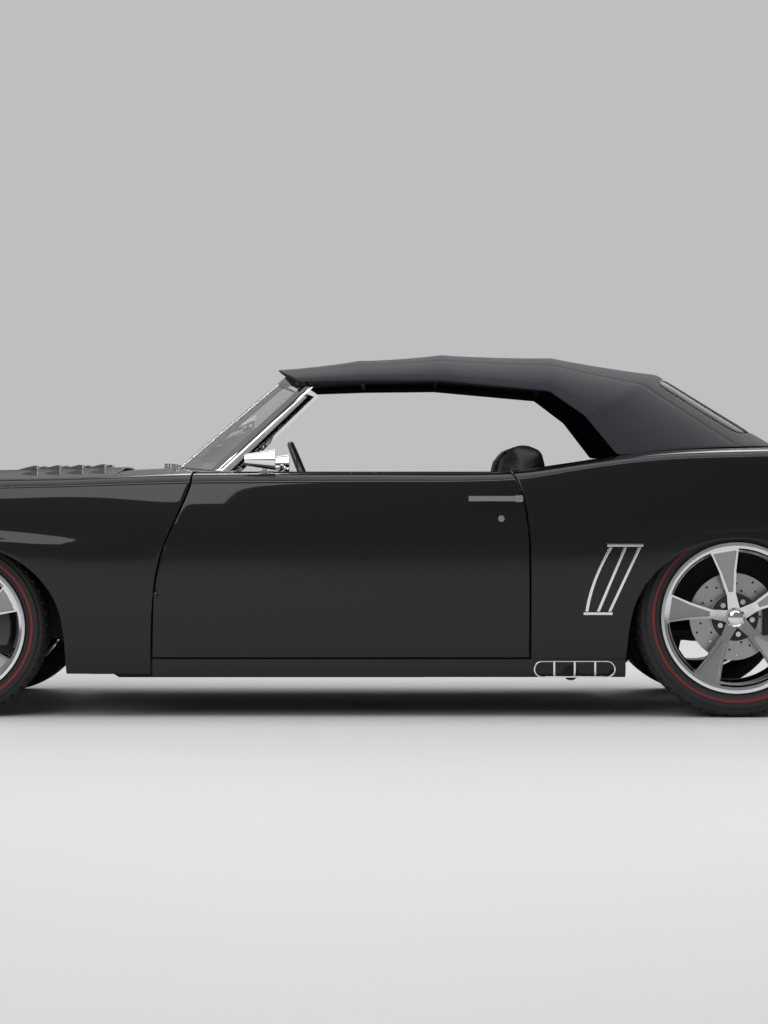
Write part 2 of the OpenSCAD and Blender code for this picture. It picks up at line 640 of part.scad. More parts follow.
// Floor: flat under the cabin, up over the rear axle, down to the trunk
cabin_y = hw - 250;
rear_floor_y = hw - 380;
kick_z = 520;
trunk_z = 330;
kick_x = ra - 370;
trunk_x = ra + 330;
tunnel_w = 300;
tunnel_h = 170;
floor_end = quarter_rear - seam;
module floor_pan() {
  color("dimgray") difference() {
    union() {
      block([fa + 640, -cabin_y, floor_z], [kick_x, cabin_y, floor_z + floor_t]);
      block([wall_x + wall_t + seam, -tunnel_w / 2, floor_z], [kick_x, tunnel_w / 2, floor_z + tunnel_h]);
      across(2 * rear_floor_y) polygon([[kick_x - 120, floor_z + floor_t], [kick_x, kick_z + floor_t],
        [trunk_x, kick_z + floor_t], [trunk_x + 60, trunk_z + floor_t], [floor_end, trunk_z + floor_t],
        [floor_end, trunk_z], [trunk_x + 46, trunk_z], [trunk_x - 12, kick_z], [kick_x + 12, kick_z],
        [kick_x - 110, floor_z]]);
    }
    block([fa, -tunnel_w / 2 + floor_t, floor_z - 1],
      [kick_x + 60, tunnel_w / 2 - floor_t, floor_z + tunnel_h - floor_t]);
  }
}

// Rockers under the doors, with the cut for a side outlet
rocker_front = fa + 690;
rocker_rear = ra - arch_a_rear - arch_step;
pipe_r = 30;
pipe_x = ra - 580;
pipe_z = 152;
outlet_x = ra - 570;
outlet_l = 288;
outlet_h = 60;
outlet_z = rocker_z + 30;
rocker_out = hw - 74;
step_h = 70;
module stadium(l, h) {
  square([l - h, h], center = true);
  for (s = [-1, 1]) translate([s * (l - h) / 2, 0]) circle(d = h);
}
module rockers() {
  color("black") both() difference() {
    along(rocker_front, rocker_rear) polygon([[-rocker_out + 22, rocker_z],
      [-rocker_out + 4, rocker_z + 14], [-rocker_out, rocker_z + 34], [-rocker_out - 3, rocker_top],
      [-rocker_out + door_t + 8, rocker_top], [-rocker_out + door_t + 8, rocker_top + step_h],
      [-cabin_y - seam, rocker_top + step_h], [-cabin_y - seam, rocker_z]]);
    block([rocker_front - 1, -post_in - post_t - seam, floor_z + floor_t],
      [wall_x + wall_t + seam, 1 - cabin_y, rocker_top + step_h + 1]);
    translate([outlet_x, -rocker_out + 60, outlet_z]) rotate([90, 0, 0])
      linear_extrude(120) stadium(outlet_l + 2 * seam, outlet_h + 2 * seam);
    translate([pipe_x, 0, pipe_z]) rotate([90, 0, 0]) cylinder(r = pipe_r - 4 + seam, h = rocker_out);
  }
}
outlet_wall = 5;
outlet_vanes = 3;
module exhaust_tips() {
  color("silver") both() translate([outlet_x, -rocker_out + 60 - seam, outlet_z]) rotate([90, 0, 0])
    linear_extrude(70) {
      difference() {
        stadium(outlet_l, outlet_h);
        stadium(outlet_l - 2 * outlet_wall, outlet_h - 2 * outlet_wall);
      }
      for (k = [1:outlet_vanes]) translate([(k / (outlet_vanes + 1) - 0.5) * outlet_l, 0])
        square([7, outlet_h - outlet_wall], center = true);
    }
}

// Nose and tail panels, bowed in plan, with openings for grille and lamps
bow_parts = 8;
nose_bow = 30;
nose_t = 10;
lamp_y = hw - 250;
lamp_z = 640;
lamp_r = 92;
grille_w = 2 * (hw - 375);
grille_h = 170;
grille_z = 640;
function bow_r(bow) = (hw^2 + bow^2) / (2 * bow);
// Distance of a bowed panel's outside from its flat back, at y
function bow_x(t, bow, y) = t + bow - bow_r(bow) + sqrt(bow_r(bow)^2 - y^2);
function end_outline(x) =
  let (s = section(x, col(x, SILL_Z)))
  concat(s, [for (k = [len(s) - 1:-1:0]) [-s[k][0], s[k][1]]]);
module bowed(x, dir, t, bow) {
  intersection() {
    if (dir < 0) along(x - t - bow, x) children();
    else along(x, x + t + bow) children();
    linear_extrude(1200) polygon(concat([[x, -hw], [x, hw]],
      [for (k = [bow_parts:-1:-bow_parts]) let (y = hw * k / bow_parts) [x + dir * bow_x(t, bow, y), y]]));
  }
}
module nose_panel() {
  color("black") bowed(fender_front, -1, nose_t, nose_bow) difference() {
    polygon(end_outline(fender_front));
    translate([0, grille_z]) square([grille_w, grille_h], center = true);
    for (s = [-1, 1]) translate([s * lamp_y, lamp_z]) circle(lamp_r);
  }
}
tail_bow = 24;
tail_t = 10;
tail_lamp_y = hw - 420;
tail_lamp_w = 460;
tail_lamp_h = 110;
tail_lamp_z = 690;
// Bolt holes for a number plate
plate_y = 89;
plate_z = 750;
plate_bolt_r = 3.5;
module tail_panel() {
  color("black") difference() {
    bowed(quarter_rear, 1, tail_t, tail_bow) difference() {
      polygon(end_outline(quarter_rear));
      for (s = [-1, 1]) translate([s * tail_lamp_y, tail_lamp_z])
        square([tail_lamp_w, tail_lamp_h], center = true);
    }
    both() translate([quarter_rear - 1, -plate_y, plate_z]) rotate([0, 90, 0])
      cylinder(r = plate_bolt_r, h = tail_t + tail_bow + 2);
  }
}
tail_cells = 3;
module tail_lamps() {
  color("darkred") both() along(quarter_rear + 2, quarter_rear + tail_t + tail_bow) difference() {
    translate([-tail_lamp_y, tail_lamp_z])
      square([tail_lamp_w - 2 * seam, tail_lamp_h - 2 * seam], center = true);
    for (k = [1:tail_cells - 1])
      translate([-tail_lamp_y + (k / tail_cells - 0.5) * tail_lamp_w, tail_lamp_z + 8])
        square([8, tail_lamp_h], center = true);
  }
}
bars_across = 6;
bars_up = 13;
module grille() {
  color("dimgray") along(fender_front - 22, fender_front + 4) translate([0, grille_z]) {
    difference() {
      square([grille_w - 2 * seam, grille_h - 2 * seam], center = true);
      square([grille_w - 20, grille_h - 20], center = true);
    }
    for (k = [1:bars_across - 1])
      translate([0, (k / bars_across - 0.5) * grille_h]) square([grille_w - 4, 5], center = true);
    for (k = [1:bars_up - 1])
      translate([(k / bars_up - 0.5) * grille_w, 0]) square([5, grille_h - 4], center = true);
  }
}
module headlamps() {
  color("white") both() translate([fender_front + 8, -lamp_y, lamp_z]) rotate([0, -90, 0]) rotate_extrude()
    polygon([[0, -30], [lamp_r - 12, -30], [lamp_r - seam, -10], [lamp_r - seam, 22], [lamp_r - 12, 26],
             [lamp_r - 14, 16], [60, 24], [30, 29], [0, 31]]);
}

// Bumpers: a section carried along a bowed plan line that wraps round the corners
bumper_h = 96;
bumper_d = 26;
bumper_wrap = 40;
wrap_at = 0.93;
bumper_bow = 24;
bumper_z = 480;
bumper_w = hw - 30;
bumper_ys = [-1, -0.985, -0.96, -0.92, -0.85, -0.7, -0.45, -0.2, 0,
  0.2, 0.45, 0.7, 0.85, 0.92, 0.96, 0.985, 1];
bumper_sec = [[0, 0.5], [0.55, 0.46], [0.9, 0.3], [1, 0.05], [0.92, -0.2], [0.6, -0.42],
  [0.2, -0.5], [-0.1, -0.45], [-0.1, 0.45]];
function bumper_back(v) =
  let (t = clamp((abs(v) - wrap_at) / (1 - wrap_at), 0, 1))
  bumper_wrap * (1 - (1 - t^2)^0.5) + bumper_bow * v^2;
module bumper(x_tip, dir) {
  ys = dir < 0 ? bumper_ys : [for (k = [len(bumper_ys) - 1:-1:0]) bumper_ys[k]];
  bar([for (v = ys) [for (p = bumper_sec)
    [x_tip - dir * (bumper_back(v) + bumper_d * (1 - p[0])), v * bumper_w * (1 - 0.004 * (1 - p[0])),
     bumper_z + bumper_h * p[1]]]]);
}
stay_y = 400;
stay_w = 60;
nose_tip = -car_length / 2;
tail_tip = car_length / 2;
module front_bumper() {
  color("silver") {
    bumper(nose_tip, -1);
    stay_end = fender_front - bow_x(nose_t, nose_bow, stay_y - stay_w / 2) - seam;
    both() block([nose_tip + 22, -stay_y - stay_w / 2, bumper_z - 30],
      [stay_end, -stay_y + stay_w / 2, bumper_z + 30]);
  }
}
module rear_bumper() {
  color("silver") {
    bumper(tail_tip, 1);
    stay_end = quarter_rear + bow_x(tail_t, tail_bow, stay_y - stay_w / 2) + seam;
    both() block([stay_end, -stay_y - stay_w / 2, bumper_z - 30],
      [tail_tip - 22, -stay_y + stay_w / 2, bumper_z + 30]);
  }
}

// Fabric top
top_t = 12;
top_us = [0, 0.33, 0.67];
top_vs = [-1, -0.985, -0.95, -0.88, -0.76, -0.6, -0.4, -0.2, 0, 0.2, 0.4, 0.6, 0.76, 0.88, 0.95, 0.985, 1];
function bow_point(k, v) =
  let (r = bow_table[k], o = r[0] == 0 ? fa : ra, b = bow_share(v))
  [o + lerp(r[3], r[1], b), (hw - r[4]) * v, lerp(r[5], r[2], b)];
function foot_point(v) =
  let (x = ra + lerp(foot_x_edge, foot_x_mid, bow_share(v)))
  [x, foot_w * v, deck_z(x, foot_w * v) + 2 * seam];
function top_point(k, v) = k < len(bow_table) ? bow_point(k, v) : foot_point(v);
top_grid = concat(
  [for (k = [0:len(bow_table) - 1], u = top_us)
    [for (v = top_vs) lerp(top_point(k, v), top_point(k + 1, v), u)]],
  [[for (v = top_vs) foot_point(v)]]);
module soft_top() {
  n = len(top_grid) - 1;
  g = inward(top_grid, top_t);
  low = [for (i = [0:n]) [for (j = [0:len(top_vs) - 1])
    [g[i][j][0], g[i][j][1], i == n ? top_grid[i][j][2] : g[i][j][2]]]];
  color([0.1, 0.1, 0.12]) slab(top_grid, low);
}

// Inner wheel housings: open below and outward
house_r_front = 402;
house_r_rear = 402;
house_t = 8;
module housing(x, z, r, y_in, y_out, drop, slot_w, slot_h) {
  translate([x, -y_in, z]) rotate([90, 0, 0]) difference() {
    union() {
      cylinder(r = r + house_t, h = y_out - y_in, $fn = 96);
      translate([-r - house_t, -drop, 0]) cube([2 * (r + house_t), drop, y_out - y_in]);
    }
    translate([0, 0, house_t]) cylinder(r = r, h = y_out, $fn = 96);
    translate([-r, -drop - 1, house_t]) cube([2 * r, drop + 1, y_out]);
    translate([-2 * r, -4 * r - drop, -1]) cube([4 * r, 4 * r, y_out]);
    translate([-slot_w / 2, -drop - 1, -1]) cube([slot_w, slot_h, house_t + 2]);
  }
}
module wheelhouses() {
  color("dimgray") both() {
    housing(fa, r_front, house_r_front, rail_y + seam, y_front + 70, 20, 240, 60);
    housing(ra, r_rear, house_r_rear, rear_floor_y + seam, y_rear + 90, 20, 160, 130);
  }
}

engine_z = 240;
engine_top = 770;
// Frame rails, cross members and horns
horn_z = 290;
horn_h = 80;
rail_end = fa + 1655;
cross_d = 130;
module front_subframe() {
  color("dimgray") {
    both() translate([0, -rail_y + rail_w / 2, 0]) across(rail_w) polygon([
      [fender_front + seam, horn_z + horn_h], [fa + 300, horn_z + horn_h], [fa + 560, floor_z - seam],
      [rail_end, floor_z - seam], [rail_end, rail_z], [fa + 540, rail_z], [fa + 270, horn_z],
      [fender_front + seam, horn_z]]);
    block([fa - cross_d / 2, -rail_y, 168], [fa + cross_d / 2, rail_y, engine_z - seam]);
    both() block([fa - cross_d / 2, -rail_y, 200], [fa + cross_d / 2, -rail_y + rail_w, horn_z + 1]);
  }
}

// Front suspension arms and knuckles. Distances outward are from the wheel's middle plane
king_in = 57;
king_y = y_front - king_in;
ball_r = 12;
arm_low_z = r_front - 136;
arm_high_z = r_front + 124;
arm_low_t = 20;
arm_high_t = 16;
arm_tip_r = 28;
arm_gap = 5;
module arm(z, t, half, inner) {
  translate([fa, 0, z]) linear_extrude(t) difference() {
    union() {
      translate([0, -king_y]) circle(arm_tip_r);
      polygon([[-half, -inner], [-half + 60, -inner], [0, -king_y + 90], [half - 60, -inner],
               [half, -inner], [arm_tip_r, -king_y], [-arm_tip_r, -king_y]]);
    }
    translate([0, -king_y]) circle(ball_r + run_clear);
  }
}
module front_suspension() {
  color("dimgray") both() {
    arm(arm_low_z, arm_low_t, 190, rail_y + seam);
    arm(arm_high_z, arm_high_t, 110, rail_y + 9);
  }
}
upright_w = 60;
upright_t = 40;
spindle_tip = 44;
disc_in = 22;
caliper_r = 118;
caliper_h = 132;
caliper_wall = 16;
caliper_over = 24;
// Caliper: a saddle over the disc's edge, behind the axle
module caliper_side() {
  intersection() {
    circle(disc_r + caliper_over);
    translate([caliper_r - 14, -caliper_h / 2]) square([disc_r + caliper_over, caliper_h]);
  }
}
module caliper(inner, outer) {
  for (z = [inner, outer]) translate([0, 0, z]) linear_extrude(caliper_wall) caliper_side();
  translate([0, 0, inner]) linear_extrude(outer - inner + caliper_wall) difference() {
    caliper_side();
    circle(disc_r + 6);
  }
}
disc_z = -disc_in;
caliper_in = disc_z - 6 - caliper_wall;
caliper_out = disc_z + disc_t + 6;
module on_wheel(x, y, r) { translate([x, -y, r]) rotate([90, 0, 0]) children(); }
module knuckle() {
  translate([fa, -king_y, 0]) {
    translate([-upright_w / 2, -upright_t / 2, arm_low_z + arm_low_t + arm_gap])
      cube([upright_w, upright_t, arm_high_z - arm_low_z - arm_low_t - 2 * arm_gap]);
    translate([0, 0, arm_low_z + 2]) cylinder(r = ball_r, h = arm_high_z - arm_low_z + arm_high_t - 4);
  }
  on_wheel(fa, y_front, r_front) {
    translate([0, 0, -king_in]) cylinder(r = spindle_r, h = king_in + spindle_tip);
    translate([0, -24, -king_in - 10]) cube([caliper_r + 20, 48, 16]);
    translate([caliper_r - 14, -30, -king_in - 10]) cube([34, 60, king_in + caliper_in + 12]);
    caliper(caliper_in, caliper_out);
  }
}
module knuckle_left() { color("gray") knuckle(); }
module knuckle_right() { color("gray") mirror([0, 1, 0]) knuckle(); }

// Brake disc with its hat, drilled in curved rows
hat_r = 78;
hat_z = 18;
disc_bore_r = 32;
drill_rows = 10;
module disc() {
  difference() {
    rotate_extrude($fn = 96) polygon([[disc_bore_r, hat_z - 8], [hat_r, hat_z - 8],
      [hat_r, disc_z + disc_t], [disc_r, disc_z + disc_t], [disc_r, disc_z], [hat_r - 8, disc_z],
      [hat_r - 8, hat_z - 16], [disc_bore_r, hat_z - 16]]);
    for (k = [0:drill_rows - 1], j = [0:2])
      rotate(k * 360 / drill_rows + 12 * j) translate([96 + 22 * j, 0, disc_z - 1])
        cylinder(r = drill_r, h = disc_t + 2, $fn = 24);
  }
}
module brake_disc_front_left() { color("silver") on_wheel(fa, y_front, r_front) disc(); }
module brake_disc_front_right() { color("silver") mirror([0, 1, 0]) on_wheel(fa, y_front, r_front) disc(); }
module brake_disc_rear_left() { color("silver") on_wheel(ra, y_rear, r_rear) disc(); }
module brake_disc_rear_right() { color("silver") mirror([0, 1, 0]) on_wheel(ra, y_rear, r_rear) disc(); }

// Wheel: barrel, flared spokes with sunk pockets, hub, lug nuts and cap. Heights are outward
// from the wheel's middle plane
hub_r = 84;
flange_h = 12;
flange_t = 12;
lip_in = 6;
well = 30;
barrel_t = 9;
hub_back = hat_z - 8 + seam;
hub_drop = 52;
lug_seat = 18;
cap_h = 20;
spoke_root = 22;
spoke_t = 30;
pocket_r = 92;
face_r_in = 17;
spoke_shares = [0.3, 0.45, 0.6, 0.75, 0.86];
function spoke_front(r, R, zo, hub_z) = lerp(hub_z - 2, zo - 14, clamp((r - 40) / (R - 62), 0, 1)^1.4);
// Plan of one spoke narrowed by e on each side, its outer end at radius r_end
module spoke_plan(R, e, r_end) {
  half = [[spoke_root, spoke_root - e], [hub_r + e, spoke_waist - e], [R * 0.62, spoke_flare * 0.6 - e],
    [R - 26 - e, spoke_flare - e], [r_end, spoke_flare - e - 4]];
  polygon(concat([for (p = half) [p[0], -p[1]]], [for (k = [len(half) - 1:-1:0]) half[k]]));
}
module all_spokes() {
  for (k = [0:spokes - 1]) rotate(spoke_angle + 360 / spokes * k) children();
}
// Front of the wheel over all spokes, from a depth below it to a height above it
module spoke_layer(R, zo, hub_z, up, down) {
  rs = concat([0], [for (k = spoke_shares) k * R], [R - face_r_in]);
  rotate_extrude($fn = 120) polygon(concat(
    [for (r = rs) [r, spoke_front(r, R, zo, hub_z) + up]],
    [for (i = [len(rs) - 1:-1:0]) [rs[i], spoke_front(rs[i], R, zo, hub_z) - down]]));
}
module wheel(rim_d, tyre_w) {
  R = rim_d / 2;
  zo = tyre_w / 2 - lip_in;
  hub_z = zo - hub_drop;
  bore_end = spindle_tip + 3;
  rotate_extrude($fn = 120) polygon([
    [R, zo], [R, zo - flange_t], [R - flange_h, zo - flange_t], [R - flange_h, zo - 40],
    [R - well, zo - 64], [R - well, 40 - zo], [R - flange_h, 34 - zo], [R - flange_h, flange_t - zo],
    [R, flange_t - zo], [R, -zo], [R - 8, -zo], [R - flange_h - barrel_t, 24 - zo],
    [R - well - barrel_t, 44 - zo], [R - well - barrel_t, zo - 70],
    [R - flange_h - barrel_t - 2, zo - 40], [R - flange_h - barrel_t, zo - 9], [R - 12, zo - 5],
    [R - 10, zo]]);
  difference() {
    union() {
      translate([0, 0, hub_back]) cylinder(r = hub_r, h = hub_z - lug_seat - hub_back);
      intersection() {
        linear_extrude(2 * zo) all_spokes() spoke_plan(R, 0, R);
        spoke_layer(R, zo, hub_z, 0, spoke_t);
      }
      rotate_extrude() polygon([[0, hub_z - 8], [cap_r, hub_z - 8], [cap_r, hub_z + 6],
        [cap_r - 8, hub_z + cap_h - 6], [cap_r / 2, hub_z + cap_h - 1], [0, hub_z + cap_h]]);
    }
    translate([0, 0, hub_back - 1]) cylinder(r = spindle_r + run_clear, h = bore_end - hub_back + 1);
    intersection() {
      linear_extrude(2 * zo) all_spokes() difference() {
        spoke_plan(R, spoke_edge, R - 31);
        circle(pocket_r);
      }
      spoke_layer(R, zo, hub_z, hub_drop, pocket_depth);
    }
  }
  all_spokes() rotate(180 / spokes) translate([bolt_circle_r, 0, hub_z - lug_seat - 4])
    cylinder(r = lug_r, h = lug_seat + 2, $fn = 6);
}
module wheel_front_left() {
  color("silver") on_wheel(fa, y_front, r_front) wheel(rim_d_front, tyre_w_front);
}
module wheel_front_right() {
  color("silver") mirror([0, 1, 0]) on_wheel(fa, y_front, r_front) wheel(rim_d_front, tyre_w_front);
}
module wheel_rear_left() { color("silver") on_wheel(ra, y_rear, r_rear) wheel(rim_d_rear, tyre_w_rear); }
module wheel_rear_right() {
  color("silver") mirror([0, 1, 0]) on_wheel(ra, y_rear, r_rear) wheel(rim_d_rear, tyre_w_rear);
}

// Tyre: bead, bulged side walls and a nearly flat tread
module tyre(rim_d, d, w) {
  R = rim_d / 2;
  rt = d / 2;
  h = w / 2;
  zb = h - lip_in - flange_t - seam;
  wall = rt - R;
  at = function(t) R + t * wall;
  half = [[R - flange_h + seam, zb - 10], [R - flange_h + seam, zb], [at(0.01), zb], [at(0.08), h - 10],
    [at(0.24), h - 2], [at(0.42), h], [at(0.6), h - 1.5], [at(0.7), h - 8], [at(0.85), h - 15],
    [at(0.95), h - 27], [at(0.987), h - 40], [rt, h - 62]];
  inner = [[R - flange_h + seam + 10, zb - 10], [at(0.1), h - 24], [at(0.42), h - 13],
    [at(0.7), h - 26], [at(0.81), h - 50]];
  back = function(l) [for (i = [len(l) - 1:-1:0]) [l[i][0], -l[i][1]]];
  rotate_extrude($fn = 120) polygon(concat(half, back(half), [for (p = inner) [p[0], -p[1]]],
    [for (i = [len(inner) - 1:-1:0]) inner[i]]));
}
module tyre_front_left() {
  color([0.1, 0.1, 0.1]) on_wheel(fa, y_front, r_front) tyre(rim_d_front, tyre_d_front, tyre_w_front);
}
module tyre_front_right() {
  color([0.1, 0.1, 0.1]) mirror([0, 1, 0]) on_wheel(fa, y_front, r_front)
    tyre(rim_d_front, tyre_d_front, tyre_w_front);
}
module tyre_rear_left() {
  color([0.1, 0.1, 0.1]) on_wheel(ra, y_rear, r_rear) tyre(rim_d_rear, tyre_d_rear, tyre_w_rear);
}
module tyre_rear_right() {
  color([0.1, 0.1, 0.1]) mirror([0, 1, 0]) on_wheel(ra, y_rear, r_rear)
    tyre(rim_d_rear, tyre_d_rear, tyre_w_rear);
}

// Rear axle with its drive, spindles and calipers, leaf springs under it
shaft_z = 278;
axle_r = 40;
drive_r = 120;
flange_in = 62;
spring_y = y_rear - 240;
spring_w = 56;
spring_t = 30;
module rear_axle() {
  color("dimgray") {
    translate([ra, y_rear - flange_in, r_rear]) rotate([90, 0, 0])
      cylinder(r = axle_r, h = 2 * (y_rear - flange_in));
    translate([ra, 0, r_rear]) sphere(drive_r);
    translate([ra - drive_r - 40, 0, shaft_z]) rotate([0, 90, 0]) cylinder(r = 46, h = 110);
    both() on_wheel(ra, y_rear, r_rear) {
      translate([0, 0, -flange_in - 1]) cylinder(r = spindle_r, h = flange_in + spindle_tip + 1);
      translate([0, 0, -flange_in - 8]) cylinder(r = 66, h = 10);
      translate([0, -24, -flange_in - 8]) cube([caliper_r + 20, 48, 10]);
      translate([caliper_r - 14, -30, -flange_in - 8]) cube([34, 60, flange_in + caliper_in + 10]);
      caliper(caliper_in, caliper_out);
    }
    both() block([ra - perch_a, -spring_y - 40, perch_z], [ra + perch_a, -spring_y + 40, r_rear]);
  }
}
spring_arc_r = 2100;
spring_half = 10.5;
hanger_w = 44;
hanger_z = 305;
perch_a = 60;
perch_z = r_rear - 62;
// Rise of the spring's upper face over half the length of its perch, and a little more
sag = perch_a^2 / (2 * (spring_arc_r - spring_t)) + seam;
module leaf_springs() {
  color("dimgray") both() {
    translate([ra, -spring_y, perch_z - seam - sag - spring_t + spring_arc_r]) rotate([90, 0, 0])
      translate([0, 0, -spring_w / 2]) rotate([0, 0, -90 - spring_half])
        rotate_extrude(angle = 2 * spring_half, $fn = 256)
          translate([spring_arc_r - spring_t, 0]) square([spring_t, spring_w]);
    block([kick_x + 18, -spring_y - hanger_w / 2, hanger_z],
      [kick_x + 58, -spring_y + hanger_w / 2, kick_z - seam]);
    block([ra + 334, -spring_y - hanger_w / 2, hanger_z],
      [ra + 366, -spring_y + hanger_w / 2, trunk_z + 12]);
  }
}

engine_front = fa - 250;
engine_rear = fa + 350;
module engine() {
  half = [[130, engine_z], [150, 330], [230, 420], [300, 620], [180, 690], [120, engine_top]];
  color("dimgray") along(engine_front, engine_rear)
    polygon(concat(half, [for (k = [len(half) - 1:-1:0]) [-half[k][0], half[k][1]]]));
}
module driveline() {
  color("dimgray") {
    translate([engine_rear + seam, 0, shaft_z]) rotate([0, 90, 0]) cylinder(r1 = 112, r2 = 52, h = 420);
    translate([fa + 700, 0, shaft_z]) rotate([0, 90, 0])
      cylinder(r = 36, h = wheelbase - 700 - drive_r - 40 - seam);
  }
}
module exhaust() {
  color("gray") both() {
    translate([fa + 420, -330, pipe_z]) rotate([0, 90, 0]) cylinder(r = pipe_r, h = pipe_x - fa - 420);
    translate([pipe_x, -330, pipe_z]) rotate([90, 0, 0])
      cylinder(r = pipe_r - 4, h = rocker_out - 330 - 60);
    block([ra - 1100, -392, 116], [ra - 620, -262, floor_z - seam]);
  }
}
module fuel_tank() {
  color("gray") block([trunk_x + 90, -380, 200], [quarter_rear - 200, 380, trunk_z - seam]);
}

// Three swept gills ahead of each rear wheel, between two bars
gill_t = 6;
gill_out = 5;
gill_top_z = 600;
gill_low_z = 374;
gill_w = 11;
gill_bar_h = 10;
gill_bar_gap = 2;
// Strip on the quarter panel through points of x and z, wide dx rearward
module strip(pts, dx) {
  lay = function(d) [for (e = [0, 1]) [for (p = pts)
    let (x = p[0] + e * dx, z = p[1]) [x, skin_y(x, z, quarter_low(x)) - d, z]]];
  slab(lay(gill_out + trim_gap), lay(trim_gap));
}
module gill(x_top, x_mid, x_low) {
  n = 6;
  strip([for (k = [n:-1:0]) let (t = k / n)
    [ra + (1 - t)^2 * x_top + 2 * t * (1 - t) * x_mid + t^2 * x_low,
     lerp(gill_top_z, gill_low_z, t)]], gill_w);
}
module gill_bar(x0, x1, z) {
  lay = function(d) [for (x = [ra + x0, ra + (x0 + x1) / 2, ra + x1]) [for (h = [0, gill_bar_h])
    [x, skin_y(x, z + h, quarter_low(x)) - d, z + h]]];
  slab(lay(gill_out + trim_gap), lay(trim_gap));
}
module quarter_gills() {
  color("silver") both() {
    gill(-452, -520, -536);
    gill(-402, -450, -496);
    gill(-352, -405, -456);
    gill_bar(-460, -334, gill_top_z + gill_bar_gap);
    gill_bar(-542, -440, gill_low_z - gill_bar_gap - gill_bar_h);
  }
}

// Cabin: dashboard with its column, seats, steering wheel
wheel_c = [fa + 1230, 570 - hw, 800];
column_tilt = 68;
column_r = 12;
module dashboard() {
  color([0.1, 0.1, 0.1]) {
    across(2 * (cabin_y - 40)) polygon([[wall_x + wall_t + seam, 840], [fa + 900, 836], [fa + 990, 800],
      [fa + 1000, 740], [fa + 960, 690], [fa + 880, 640], [wall_x + wall_t + seam, 630]]);
    translate(wheel_c) rotate([0, column_tilt, 0]) {
      translate([0, 0, -330]) cylinder(r = 26, h = 300);
      translate([0, 0, -40]) cylinder(r = column_r, h = 52);
    }
  }
}
rim_ring_r = 180;
module steering_wheel() {
  color([0.1, 0.1, 0.1]) translate(wheel_c) rotate([0, column_tilt, 0]) {
    rotate_extrude($fn = 72) translate([rim_ring_r, 0]) circle(12, $fn = 20);
    difference() {
      translate([0, 0, -24]) cylinder(r = 34, h = 44);
      translate([0, 0, -25]) cylinder(r = column_r + run_clear, h = 38);
    }
    for (a = [90, 210, 330]) rotate(a) translate([28, -14, -4]) cube([rim_ring_r - 34, 28, 6]);
  }
}
seat_gap = 5;
seat_w = cabin_y - tunnel_w / 2 - 4 * seat_gap;
seat_mid = tunnel_w / 2 + seat_gap + seat_w / 2;
seat_x = ra - 1301;
seat_foot = floor_z + floor_t + seam;
module front_seats() {
  color([0.12, 0.12, 0.12]) both() translate([seat_x, -seat_mid, 0]) across(seat_w)
    polygon([[0, seat_foot], [440, seat_foot], [560, 560], [650, 900], [642, 962], [600, 988],
             [540, 982], [500, 955], [482, 900], [430, 560], [380, 440], [60, 480], [10, 460],
             [-20, 400]]);
}
module rear_seat() {
  kick_top = kick_z + floor_t + seam;
  color([0.12, 0.12, 0.12]) difference() {
    translate([ra - 620, 0, 0]) across(2 * (rear_floor_y - 30))
      polygon([[0, seat_foot], [129, seat_foot], [248, kick_top], [410, kick_top], [450, 860],
               [440, 900], [380, 905], [330, 860], [225, 590], [180, 520], [20, 530], [-10, 500],
               [-20, 300]]);
    block([ra - 700, -tunnel_w / 2 - seam, floor_z],
      [kick_x + 1, tunnel_w / 2 + seam, floor_z + tunnel_h + seam]);
  }
}

front_fenders();
quarter_panels();
rockers();
cowl();
firewall();
floor_pan();
nose_panel();
tail_panel();
deck_filler();
wheelhouses();
windshield_frame();
windshield();
wipers();
soft_top();
dashboard();
front_seats();
rear_seat();
grille();
headlamps();
tail_lamps();
front_bumper();
rear_bumper();
front_subframe();
front_suspension();
engine();
driveline();
exhaust();
exhaust_tips();
rear_axle();
leaf_springs();
fuel_tank();
quarter_gills();
hood();
deck_lid();
door_left();
door_right();
door_chrome_left();
door_chrome_right();
knuckle_left();
knuckle_right();
wheel_front_left();
wheel_front_right();
wheel_rear_left();
wheel_rear_right();
tyre_front_left();
tyre_front_right();
tyre_rear_left();
tyre_rear_right();
brake_disc_front_left();
brake_disc_front_right();
brake_disc_rear_left();
brake_disc_rear_right();
steering_wheel();
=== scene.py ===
# %% [markdown]
# # A black two-door convertible
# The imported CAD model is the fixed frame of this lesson. Every panel, wheel and lamp is already at
# its place there, in metres, with X rearward, Y to the car's right and Z up. Here the car gets its
# looks: rounded panels, tyres with tread, a stretched fabric top, soft seats, paint and chrome.

# %% Load the frame
import json
import math
import bpy
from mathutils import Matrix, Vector
from mathutils.kdtree import KDTree

